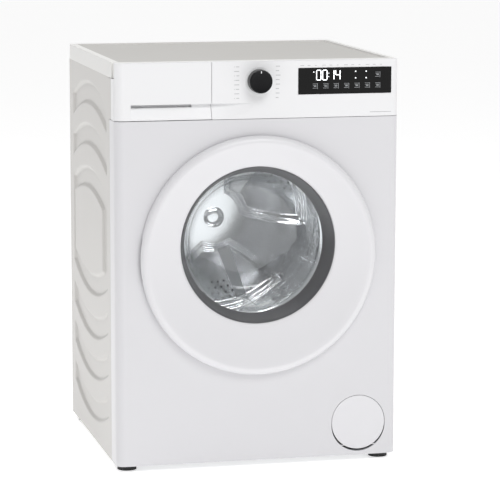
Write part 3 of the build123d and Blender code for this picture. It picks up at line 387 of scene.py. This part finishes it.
MATERIALS["knob_black"] = radial_black("knob_black")
INK = material("legend_ink", [0.47, 0.47, 0.48], 0.5, 0.0, 800.0, 0.02, 0.05, 0.03)
DIGIT_WHITE = glowing("digit_white", [0.95, 0.98, 1.0], 1.4)
DIM_ICON = glowing("dim_icon", [0.30, 0.31, 0.32], 0.12)
POINTER_WHITE = material("pointer_white", [0.85, 0.85, 0.85], 0.4, 0.0, 800.0, 0.02, 0.02, 0.03)

for node_name, node_object in NODES.items():
    node_object.data.materials.clear()
    node_object.data.materials.append(MATERIALS[SLOT_OF[node_name]])


def dress(obj, slot, body, mat=None):
    """Give a new piece its finish and let it ride on a body."""
    obj.data.materials.clear()
    obj.data.materials.append(mat or MATERIALS[slot])
    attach(obj, body)
    return obj


# ---------------------------------------------------------------- side panels with soft pressed bands
HALF_WIDTH = 300.0
SHEET = 1.0
FLANGE_X = 281.0
SIDE_START = 62.0
FASCIA_START = 43.0
FASCIA_BOTTOM_Z = 731.5
HAIR = 0.02
EMBOSS = 5.5
SLOPE = 7.0
BAND_MID = 305.0
BAND_HALF = 209.5
BAND_RISE = 42.0
UPPER_BANDS = ((739, 789), (650, 698))
LOWER_BANDS = ((234, 284), (145, 194), (55, 102))
FRAME_Z = (328.0, 604.0)
ISLAND_Z = (374.0, 556.0)
ISLAND_MID = 20.0
ISLAND_HALF = 170.0
ISLAND_RISE = 26.0


def bow(s, rise, half=BAND_HALF):
    return rise * (s / half) ** 2


def pressed(s, z):
    """How far the side panel is pressed in at a place: s from the bands' middle, z the height."""
    ends = BAND_HALF - abs(s)
    inside = -99.0
    for low, high in UPPER_BANDS:
        drop = bow(s, BAND_RISE)
        inside = max(inside, min(ends, z - (low - drop), (high - drop) - z))
    for low, high in LOWER_BANDS:
        drop = -bow(s, BAND_RISE)
        inside = max(inside, min(ends, z - (low - drop), (high - drop) - z))
    drop = bow(s, BAND_RISE)
    outer = min(ends, (FRAME_Z[1] - drop) - z, z - (FRAME_Z[0] + drop))
    t = s - ISLAND_MID
    drop = bow(t, ISLAND_RISE, ISLAND_HALF)
    island = min(ISLAND_HALF - abs(t), (ISLAND_Z[1] - drop) - z, z - (ISLAND_Z[0] + drop))
    inside = max(inside, min(outer, -island))
    return EMBOSS * smoothstep(inside / SLOPE)


def side_panel(name, node, sign):
    """One folded side sheet: the pressed face and its four flanges."""
    low, high = corners(node)
    face_x = sign * HALF_WIDTH
    inward = Vector((-sign, 0, 0))
    front, back = SIDE_START, high[1] - FRONT_Y
    steps_s, steps_z = 150, 300
    rows = []
    for r in range(steps_z + 1):
        z = low[2] + (high[2] - low[2]) * r / steps_z
        row = []
        for c in range(steps_s + 1):
            depth = front + (back - front) * c / steps_s
            row.append(at(face_x - sign * pressed(depth - BAND_MID, z), depth, z))
        rows.append(row)
    obj = sheet_from_grid(name, rows, SHEET * MM, inward)
    # The side sheet and its flanges wear side_white, a darker copy of the white paint: painted shade for the
    # less lit sides
    dress(obj, "side_white", "cabinet")
    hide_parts(node)
    inner_x = sign * (HALF_WIDTH - SHEET)
    flange_x = sorted((inner_x, sign * FLANGE_X))
    wide_x = sorted((face_x, sign * FLANGE_X))
    flanges = boxes(
        name + "_flanges",
        [
            (sorted((face_x, inner_x)), (FASCIA_START, SIDE_START), (FASCIA_BOTTOM_Z, high[2])),
            (flange_x, (front, back), (low[2], low[2] + SHEET)),
            (wide_x, (FASCIA_START, back), (high[2] - SHEET, high[2] - HAIR)),
            (flange_x, (back - SHEET, back - HAIR), (low[2], high[2])),
        ],
    )
    dress(flanges, "side_white", "cabinet")


side_panel("side_skin_left", "side_panel_left", -1)
side_panel("side_skin_right", "side_panel_right", 1)

# ---------------------------------------------------------------- door ring, trim and glass bowl
RIM_R = 235.0
GLASS_R = 164.0
DOOR_FRONT = -20.0
BEVEL = 14.0
NOTCH_X = 236.0
NOTCH_HALF = 46.0
NOTCH_DEPTH = -10.2


def ring_point(turn, radius, depth, share):
    """A point of the door ring: the circles' middle climbs from the door's to the glass's with the share."""
    middle = DOOR_Z + (DRUM_Z - DOOR_Z) * share
    return at(radius * math.cos(turn), depth, middle + radius * math.sin(turn))


def door_ring():
    segments = 256
    profile = [
        (237.0, -3.0, 0.0),
        (237.0, -1.0, 0.0),
        (247.0, -1.0, 0.0),
        (249.0, -2.6, 0.0),
        (DOOR_R, -4.0, 0.0),
    ]
    for k in range(10):
        angle = math.radians(90 * k / 9)
        radius = DOOR_R - BEVEL + BEVEL * math.cos(angle)
        profile.append((radius, DOOR_FRONT + BEVEL - BEVEL * math.sin(angle), 0.0))
    profile.append((RIM_R - 0.5, DOOR_FRONT + 0.15, 0.0))
    for k in range(1, 13):
        share = k / 12
        radius = RIM_R + (GLASS_R + 1.2 - RIM_R) * share
        sag = 1.6 * math.sin(math.pi * share)
        profile.append((radius, DOOR_FRONT + 20.0 * share + sag - 0.3, share))
    inner, outer = GLASS_R + 0.3, GLASS_R + 5.0
    profile += [(inner, 0.4, 1.0), (inner, 2.0, 1.0), (outer, 2.0, 1.0), (outer, 0.9, 1.0)]
    verts = []
    for i in range(segments):
        turn = 2 * math.pi * i / segments
        for radius, depth, share in profile:
            point = ring_point(turn, radius, depth, share)
            left_wall = point.x < -NOTCH_X * MM and abs(point.z / MM - DOOR_Z) < NOTCH_HALF
            if left_wall and depth > -10.0 and share == 0.0:
                point.y = (FRONT_Y + NOTCH_DEPTH) * MM
            verts.append(point)
    rows = len(profile)
    faces = []
    for i in range(segments):
        j = (i + 1) % segments
        for k in range(rows - 1):
            faces.append((i * rows + k, i * rows + k + 1, j * rows + k + 1, j * rows + k))
    obj = sharpen(new_object("door_ring_skin", verts, faces), 60)
    thick = obj.modifiers.new("wall", "SOLIDIFY")
    thick.thickness = 1.2 * MM
    thick.offset = -1.0
    return dress(obj, "door_white", "door")


ring = door_ring()
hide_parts("door_ring")

trim = lathe(
    "door_trim_funnel",
    [
        (GLASS_R - 0.2, -0.6),
        (GLASS_R - 0.2, 2.4),
        (166.6, 2.4),
        (166.6, 5.0),
        (151.0, TRIM_END),
        (148.0, TRIM_END),
        (148.2, TRIM_END - 2.0),
        (149.6, TRIM_END - 5.5),
        (155.0, 22.0),
        (160.0, 6.5),
        (161.8, 1.2),
        (162.6, -0.4),
    ],
    segments=256,
)
dress(trim, "trim_grey", "door")
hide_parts("door_trim")


def rounded(points, radius, steps=5):
    """Round the inner corners of an open line of (radius, depth) points."""
    out = [points[0]]
    for before, here, after in zip(points, points[1:], points[2:]):
        b, h, a = Vector(before), Vector(here), Vector(after)
        reach = min(radius, (h - b).length / 2.2, (a - h).length / 2.2)
        start = h + (b - h).normalized() * reach
        end = h + (a - h).normalized() * reach
        for k in range(steps + 1):
            t = k / steps
            out.append(tuple(start * (1 - t) ** 2 + h * 2 * t * (1 - t) + end * t ** 2))
    out.append(points[-1])
    return out


bowl_rim = [(151, TRIM_END + 0.3), (151, TRIM_END + 5), (145, TRIM_END + 8)]
bowl_outer = rounded(bowl_rim + [(127, 118), (112, 133), (80, 138), (0.01, 140)], 9)
bowl_inner = rounded(
    [(0.01, 135), (79, 133), (109, 128.5), (122, 115), (139, TRIM_END + 6), (143, TRIM_END + 0.3)], 9
)
bowl = lathe("door_glass_bowl", bowl_outer + bowl_inner, segments=192)
dress(bowl, "clear_glass", "door")
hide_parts("door_glass")

# ---------------------------------------------------------------- gasket between the panel and the tub
panel_lip = [(168, 12), (171.6, 12), (171.6, 20.4), (173.4, 20.4), (173.4, 15.4), (177, 15.4), (177, 24)]
outer_fold = [(182, 28), (182, 50), (160, 62), (160, 66), (176, 78), (176, 99)]
tub_lip = [(171.4, 99), (171.4, 91.5), (167, 91.5)]
inner_fold = [(167, 80), (156, 68), (156, 58), (178, 46), (178, 31), (168, 26), (168, 12)]
gasket_line = rounded(panel_lip + outer_fold + tub_lip + inner_fold, 2.5, 4)
gasket = lathe("door_gasket_bellows", gasket_line[:-1], segments=160)
gasket.data.materials.append(MATERIALS["gasket_rubber"])
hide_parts("door_gasket")
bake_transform(gasket)

# ---------------------------------------------------------------- drum
HOLE_R = 2.5
AROUND = 96
DEEP = 24
CLUSTER = 6
DRUM_MOUTH_R = 160


def drum_wall():
    """The perforated sheet: in alternate six-by-six blocks of cells, every second cell has a real hole."""
    radius = DRUM_R
    first, last = DRUM_FRONT + 14, DRUM_BACK - 8
    verts, faces, shared = [], [], {}

    def point(u, v):
        """u is in cells round the drum and v in mm of depth."""
        turn = 2 * math.pi * u / AROUND
        verts.append(at(radius * math.cos(turn), v, DRUM_Z + radius * math.sin(turn)))
        return len(verts) - 1

    def corner(i, j):
        key = (i % AROUND, j)
        if key not in shared:
            shared[key] = point(i % AROUND, first + (last - first) * j / DEEP)
        return shared[key]

    cell = 2 * math.pi * radius / AROUND
    for i in range(AROUND):
        for j in range(DEEP):
            quad = [corner(i, j), corner(i + 1, j), corner(i + 1, j + 1), corner(i, j + 1)]
            if (i + j) % 2 or (i // CLUSTER + j // CLUSTER) % 2:
                faces.append(tuple(quad))
                continue
            middle = first + (last - first) * (j + 0.5) / DEEP
            rim = []
            for k in range(8):
                angle = math.radians(-157.5 + 45 * k)
                across = HOLE_R * math.cos(angle) / cell
                rim.append(point(i + 0.5 + across, middle + HOLE_R * math.sin(angle)))
            for side in range(4):
                a, b = 2 * side, 2 * side + 1
                faces.append((quad[side], quad[(side + 1) % 4], rim[(b + 1) % 8], rim[b]))
                faces.append((quad[side], rim[b], rim[a]))
    ends = {}
    for j, depth in ((0, DRUM_FRONT + 4), (DEEP, DRUM_BACK)):
        for i in range(AROUND):
            ends[i, j] = point(i, depth)
    lip = {}
    mouth = DRUM_MOUTH_R
    lip_profile = [
        (DRUM_R - 4, DRUM_FRONT),
        (mouth + 4, DRUM_FRONT),
        (mouth, DRUM_FRONT + 4),
        (mouth, DRUM_FRONT + 10),
    ]
    for i in range(AROUND):
        turn = 2 * math.pi * i / AROUND
        for k, (r, d) in enumerate(lip_profile):
            verts.append(at(r * math.cos(turn), d, DRUM_Z + r * math.sin(turn)))
            lip[i, k] = len(verts) - 1
    for i in range(AROUND):
        m = (i + 1) % AROUND
        faces.append((corner(i, 0), ends[i, 0], ends[m, 0], corner(m, 0)))
        faces.append((corner(i, DEEP), corner(m, DEEP), ends[m, DEEP], ends[i, DEEP]))
        faces.append((ends[i, 0], lip[i, 0], lip[m, 0], ends[m, 0]))
        for k in range(3):
            faces.append((lip[i, k], lip[i, k + 1], lip[m, k + 1], lip[m, k]))
    obj = sharpen(new_object("drum_perforated_shell", verts, faces), 60)
    thick = obj.modifiers.new("sheet", "SOLIDIFY")
    thick.thickness = 0.9 * MM
    thick.offset = -1.0
    return dress(obj, "stainless", "drum")


drum = drum_wall()
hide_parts("drum_shell")


ARM_HEADINGS = (-25.0, 95.0, 215.0)
ARM_RAISE = 17.0
HUB_R = 20.0
BACK_HOLE_R = 2.4


def arm_inside(x, z):
    """How far inside the raised star a place on the back is: its round middle and three widening arms."""
    radius = math.hypot(x, z)
    inside = 60.0 - radius
    for heading in ARM_HEADINGS:
        turn = math.radians(heading)
        ahead = x * math.cos(turn) + z * math.sin(turn)
        across = abs(z * math.cos(turn) - x * math.sin(turn))
        if ahead > 0:
            inside = max(inside, 24.0 + 0.0008 * ahead ** 2 + 0.05 * ahead - across)
    return max(inside, radius - 214.0)


def back_depth(x, z):
    """Depth of the pressed back at a place measured from the drum's axis."""
    radius = math.hypot(x, z)
    if radius < HUB_R:
        return DRUM_BACK - 20.0 + 3.0 * (radius / HUB_R) ** 4
    outside = -arm_inside(x, z)
    drop = 5.0 * smoothstep(outside / 5.0) + (ARM_RAISE - 5.0) * smoothstep((outside - 9.0) / 12.0)
    hub_wall = 17.0 * smoothstep((radius - HUB_R) / 3.0)
    return DRUM_BACK - 20.0 + 3.0 + min(hub_wall, 3.0) + drop


def drum_back():
    """The pressed back: a round boss, three widening arms and scooped pockets between them."""
    rings, segments = 130, 288
    rows = []
    for r in range(rings + 1):
        radius = 0.5 + (DRUM_R - 1.5) * r / rings
        row = []
        for i in range(segments):
            turn = 2 * math.pi * i / segments
            x, z = radius * math.cos(turn), radius * math.sin(turn)
            row.append(at(x, back_depth(x, z), DRUM_Z + z))
        rows.append(row)
    verts = [p for row in rows for p in row]
    faces = []
    for r in range(rings):
        for i in range(segments):
            m = (i + 1) % segments
            near, far = r * segments, (r + 1) * segments
            faces.append((near + i, near + m, far + m, far + i))
    faces.append(tuple(range(segments)))
    obj = new_object("drum_pressed_back", verts, faces)
    thick = obj.modifiers.new("sheet", "SOLIDIFY")
    thick.thickness = 0.8 * MM
    thick.offset = 0.0
    return dress(obj, "stainless", "drum")


back = drum_back()
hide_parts("drum_back")


def back_hole_shade_discs():
    """Black discs at the outer end of each pocket: painted shade standing in for the dark inside of punched
    drain holes.
    """
    verts, faces, sides = [], [], 12
    for heading in (35.0, 155.0, 275.0):
        for row in range(5):
            radius = 150.0 + 13.0 * row
            for k in range(-row - 1, row + 2):
                turn = math.radians(heading + k * 5.2 + (2.6 if row % 2 else 0.0))
                x, z = radius * math.cos(turn), radius * math.sin(turn)
                if arm_inside(x, z) > -24.0:
                    continue
                depth = back_depth(x, z) - 0.6
                first = len(verts)
                for side in range(sides):
                    around = 2 * math.pi * side / sides
                    hole_x = x + BACK_HOLE_R * math.cos(around)
                    hole_z = DRUM_Z + z + BACK_HOLE_R * math.sin(around)
                    verts.append(at(hole_x, depth, hole_z))
                    verts.append(at(hole_x, depth + 1.0, hole_z))
                faces.append(tuple(first + 2 * side for side in range(sides)))
                for side in range(sides):
                    m = (side + 1) % sides
                    faces.append((first + 2 * side, first + 2 * side + 1, first + 2 * m + 1, first + 2 * m))
    obj = sharpen(new_object("drum_back_hole_shade_discs", verts, faces), 40)
    # The black rubber finish is painted shade for the dark inside of the holes; no rubber is there
    return dress(obj, "black_rubber", "drum")


back_hole_shade_discs()


def lifter(number):
    """A hollow moulded paddle with a rounded ridge that tapers to both ends."""
    turn_to = math.radians(-100 - 120 * number)  # evenly spaced round the drum
    length, steps_l, steps_w = (130.0, 425.0), 28, 18
    rows = []
    for a in range(steps_l + 1):
        t = a / steps_l
        depth = length[0] + (length[1] - length[0]) * t
        ends = smoothstep(t / 0.16) * smoothstep((1 - t) / 0.16)
        row = []
        for b in range(steps_w + 1):
            s = 2 * b / steps_w - 1
            half = 34 * (0.7 + 0.3 * ends)
            x = half * s
            base = math.sqrt((DRUM_R - 2.0) ** 2 - x * x)
            height = 48 * ends * (1 - smoothstep((abs(s) - 0.12) / 0.88)) + 1.0
            r = base - height
            row.append((x, depth, -r))
        rows.append(row)
    points = []
    for row in rows:
        for x, depth, z in row:
            px = x * math.cos(turn_to) - z * math.sin(turn_to)
            pz = x * math.sin(turn_to) + z * math.cos(turn_to)
            points.append(at(px, depth, DRUM_Z + pz))
    cols = steps_w + 1
    faces = []
    for a in range(steps_l):
        for b in range(steps_w):
            k = a * cols + b
            faces.append((k, k + 1, k + cols + 1, k + cols))
    obj = new_object("drum_lifter_%d" % (number + 1), points, faces)
    thick = obj.modifiers.new("wall", "SOLIDIFY")
    thick.thickness = 2.0 * MM
    return dress(obj, "grey_plastic", "drum", MATERIALS["stainless"])


LIFTERS = 3
lifters = [lifter(n) for n in range(LIFTERS)]
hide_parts("drum_lifters")

# ---------------------------------------------------------------- springs and hoses
SPRING_LOW, SPRING_HIGH = corners("suspension_springs")


def spring(name, x, depth):
    low, high = SPRING_LOW[2] + 1.5, SPRING_HIGH[2] - 1.5
    turns, steps, radius, wire = 22, 22 * 20, 7.6, 1.5
    path = [at(x, depth, low)]
    coil_low, coil_height = low + 12, high - low - 24
    for k in range(steps + 1):
        t = k / steps
        angle = 2 * math.pi * turns * t
        out_x, out_depth = radius * math.cos(angle), radius * math.sin(angle)
        path.append(at(x + out_x, depth + out_depth, coil_low + coil_height * t))
    path.append(at(x, depth, high))
    obj = tube(name, path, wire * MM, 8)
    obj.data.materials.append(MATERIALS["steel"])
    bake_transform(obj)
    return obj


spring_depth = (SPRING_LOW[1] + SPRING_HIGH[1]) / 2 - FRONT_Y
spring_x = SPRING_HIGH[0] - 9.5
springs = [spring("spring_left", -spring_x, spring_depth), spring("spring_right", spring_x, spring_depth)]
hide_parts("suspension_springs")


def bellows_hose(name, x, depth, low, high):
    """A corrugated rubber hose between two spigots."""
    segments, ribs = 40, int((high - low) / 7)
    profile = [(12.5, low), (15.8, low), (15.8, low + 14)]
    start, end = low + 16, high - 16
    for k in range(ribs):
        z = start + (end - start) * k / ribs
        step = (end - start) / ribs
        profile += [(13.6, z), (13.6, z + 0.3 * step), (15.8, z + 0.5 * step), (15.8, z + 0.8 * step)]
    profile += [(15.8, high - 14), (15.8, high), (12.5, high)]
    verts = []
    for i in range(segments):
        turn = 2 * math.pi * i / segments
        for r, z in profile:
            verts.append(at(x + r * math.cos(turn), depth + r * math.sin(turn), z))
    rows = len(profile)
    faces = []
    for i in range(segments):
        j = (i + 1) % segments
        for k in range(rows):
            m = (k + 1) % rows
            faces.append((i * rows + k, j * rows + k, j * rows + m, i * rows + m))
    obj = sharpen(new_object(name, verts, faces), 70)
    obj.data.materials.append(MATERIALS["black_rubber"])
    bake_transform(obj)
    return obj


hoses = [
    bellows_hose("drain_hose_short", 217, 118, 122, 305),
    bellows_hose("fill_hose_short", -200, 200, 651, 730),
]
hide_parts("tub_hoses")

# ---------------------------------------------------------------- program knob
def knob():
    """A turned cap with a fine knurl, a shallow dished face and a chamfered edge."""
    segments = 240
    face = [(0.01, 0.9), (8, 0.8), (16, 0.5), (KNOB_R - 3.6, 0.25), (KNOB_R - 2.6, 0.0)]
    edge = [(KNOB_R - 1.6, 0.35), (KNOB_R - 0.7, 1.4), (KNOB_R - 0.4, 3.0)]
    back = [(KNOB_R - 0.25, 17.0), (KNOB_R - 0.1, 20.6), (KNOB_R - 1.2, 21.0), (0.01, 21.0)]
    profile = face + edge + back
    verts = []
    for i in range(segments):
        turn = 2 * math.pi * i / segments
        ridge = 0.14 * (1 if i % 4 < 2 else -1)
        for r, d in profile:
            grip = ridge if 3.0 <= d <= 17.0 else 0.0
            reach = r + grip
            verts.append(at(reach * math.cos(turn), KNOB_FRONT + d, KNOB_Z + reach * math.sin(turn)))
    rows = len(profile)
    faces = []
    for i in range(segments):
        j = (i + 1) % segments
        for k in range(rows - 1):
            faces.append((i * rows + k, j * rows + k, j * rows + k + 1, i * rows + k + 1))
    obj = new_object("knob_cap", verts, faces)
    weld(obj, 2e-5)
    sharpen(obj, 30)
    return dress(obj, "knob_black", "program_knob")


knob_cap = knob()
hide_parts("program_knob")
stem = lathe("knob_stem", [(0.01, -3.5), (5, -3.5), (5, 12), (0.01, 12)], z=KNOB_Z, segments=48)
dress(stem, "knob_black", "program_knob")
pointer_bar = ((-0.9, 0.9), (KNOB_FRONT, KNOB_FRONT + 0.8), (KNOB_Z + 17.0, KNOB_Z + 22.4))
pointer = boxes("knob_pointer", [pointer_bar], 0.25)
dress(pointer, "white_plastic", "program_knob", POINTER_WHITE)

# ---------------------------------------------------------------- bright rounded edge along the fascia's top
BEADS = (
    ("drawer_top_bead", (-281, -99.8), "drawer"),
    ("fascia_top_bead", (-97.4, 281), "cabinet"),
)
for bead_name, bead_x, bead_body in BEADS:
    bead = boxes(bead_name, [(bead_x, (-0.5, 1.6), (847.4, 849.8))], 0.9, 3)
    dress(bead, "white_plastic", bead_body)

# ---------------------------------------------------------------- display digits, icons and legends
SEGMENTS = {"0": "abcdef", "1": "bc", "4": "bcfg"}
DIGIT_W, DIGIT_H, STROKE = 11.0, 22.0, 1.7
DIGIT_LOW_Z = 807.5
LIT_DEPTH = (DISPLAY_FACE - 0.15, DISPLAY_FACE + 0.1)


def segment_spans(x, z, shape):
    """The lit bars of one seven-segment digit."""
    w, h, t = DIGIT_W, DIGIT_H, STROKE
    bars = {
        "a": ((x + t, x + w - t), (z + h - t, z + h)),
        "b": ((x + w - t, x + w), (z + h / 2 + 0.4, z + h - t)),
        "c": ((x + w - t, x + w), (z + t, z + h / 2 - 0.4)),
        "d": ((x + t, x + w - t), (z, z + t)),
        "e": ((x, x + t), (z + t, z + h / 2 - 0.4)),
        "f": ((x, x + t), (z + h / 2 + 0.4, z + h - t)),
        "g": ((x + t, x + w - t), (z + h / 2 - t / 2, z + h / 2 + t / 2)),
    }
    return [(bars[bar][0], LIT_DEPTH, bars[bar][1]) for bar in SEGMENTS[shape]]


lit = []
for x, shape in ((121.6, "0"), (134.6, "0"), (149.4, "1"), (162.4, "4")):
    lit += segment_spans(x, DIGIT_LOW_Z, shape)
for z in (DIGIT_LOW_Z + 7, DIGIT_LOW_Z + 14):
    lit.append(((147.6, 149.2), LIT_DEPTH, (z, z + 1.4)))
lit.append(((115.6, 117.4), LIT_DEPTH, (824.0, 826.0)))
for x in (204.8, 227.4):
    for z in (811.5, 825):
        lit.append(((x, x + 2.2), LIT_DEPTH, (z - 1.1, z + 1.1)))
digits = boxes("display_digits", lit)
dress(digits, "black_glass", "cabinet", DIGIT_WHITE)

TOUCH_ICONS = [(119.5 + 22.3 * k, 796.0) for k in range(7)] + [(253.3, 818.0)]
dim = []
for x, z in TOUCH_ICONS:
    thin = (DISPLAY_FACE - 0.08, DISPLAY_FACE + 0.1)
    dim.append(((x - 5.2, x + 4.2), thin, (z + 4.2, z + 4.9)))
    dim.append(((x + 4.6, x + 5.4), thin, (z - 6.0, z + 5.6)))
    dim.append(((x - 4.4, x + 2.8), thin, (z + 1.2, z + 2.0)))
    dim.append(((x - 2.6, x + 2.6), thin, (z - 1.4, z + 0.4)))
    dim.append(((x - 5.2, x + 3.4), thin, (z - 4.6, z - 3.8)))
touch = boxes("display_touch_icons", dim)
dress(touch, "black_glass", "cabinet", DIM_ICON)

INK_DEPTH = (-0.06, 0.2)
LEGEND_TOP_Z = 838.5
LEGEND_PITCH = 9.2
legend = []
LEFT_LENGTHS = (7, 9, 6, 8, 10, 7, 9, 6)
RIGHT_LENGTHS = (9, 7, 10, 8, 9, 7, 8, 6)
for k in range(8):
    z = LEGEND_TOP_Z - LEGEND_PITCH * k
    row = (z - 0.7, z + 0.7)
    legend.append(((-41 - LEFT_LENGTHS[k], -41), INK_DEPTH, row))
    legend.append(((-51.5, -50.2), INK_DEPTH, row))
    legend.append(((36, 36 + RIGHT_LENGTHS[k]), INK_DEPTH, row))
for k in range(12):
    x = 88 + 15.5 * k
    legend.append(((x, x + 8 - (k % 3) * 2), INK_DEPTH, (838.2, 839.3)))
legend.append(((237, 283), INK_DEPTH, (739.6, 740.8)))
marks = boxes("fascia_legend_dashes", legend)
dress(marks, "white_plastic", "cabinet", INK)

# ---------------------------------------------------------------- stage, lights and camera


def area_light(name, place, aim, size, power, colour=(1, 1, 1)):
    data = bpy.data.lights.new(name, "AREA")
    data.shape = "RECTANGLE"
    data.size, data.size_y = size
    data.energy = power
    data.color = colour
    lamp = bpy.data.objects.new(name, data)
    lamp.location = place
    lamp.rotation_euler = (Vector(aim) - Vector(place)).to_track_quat("-Z", "Y").to_euler()
    bpy.context.scene.collection.objects.link(lamp)
    return lamp


REACH = 30
floor_corners = [(-REACH, -REACH, 0), (REACH, -REACH, 0), (REACH, REACH, 0), (-REACH, REACH, 0)]
floor = new_object("floor", floor_corners, [(0, 1, 2, 3)], False)
pale = glowing("floor_pale", [0.93, 0.93, 0.93], 0.60)
floor.data.materials.append(pale)

world = bpy.data.worlds.new("studio")
world.use_nodes = True
background = world.node_tree.nodes["Background"]
background.inputs["Color"].default_value = (1.0, 1.0, 1.0, 1.0)
background.inputs["Strength"].default_value = 0.42
bpy.context.scene.world = world
bpy.context.scene.view_settings.view_transform = "Standard"

area_light("key", (0.8, -3.6, 4.0), (0, 0, 0.6), (2.6, 2.0), 84)
area_light("fill", (-1.7, 0.5, 4.2), (-0.3, 0, 0.4), (0.9, 0.9), 42)
area_light("overhead", (0.2, 0.2, 3.4), (0, 0, 0), (2.6, 2.6), 22)
area_light("drum_lamp", at(0, 150, 650), at(0, 440, 500), (0.20, 0.04), 0.4)

YAW, PITCH, ROLL = 0.2337, -0.1547, 0.0013
LENS, SENSOR = 181.77, 36.0
CAMERA_PLACE = at(-1212.74, -5019.43, 1263.6)
forward = Vector((math.sin(YAW) * math.cos(PITCH), math.cos(YAW) * math.cos(PITCH), math.sin(PITCH)))
right = Vector((math.cos(YAW), -math.sin(YAW), 0))
up = right.cross(forward)
right_rolled = right * math.cos(ROLL) + up * math.sin(ROLL)
up_rolled = up * math.cos(ROLL) - right * math.sin(ROLL)
camera_data = bpy.data.cameras.new("camera")
camera_data.sensor_width = SENSOR
camera_data.lens = LENS
camera_data.clip_end = 100.0
camera = bpy.data.objects.new("camera", camera_data)
turn_matrix = Matrix((right_rolled, up_rolled, -forward)).transposed().to_4x4()
camera.matrix_world = Matrix.Translation(CAMERA_PLACE) @ turn_matrix
bpy.context.scene.collection.objects.link(camera)
bpy.context.scene.camera = camera
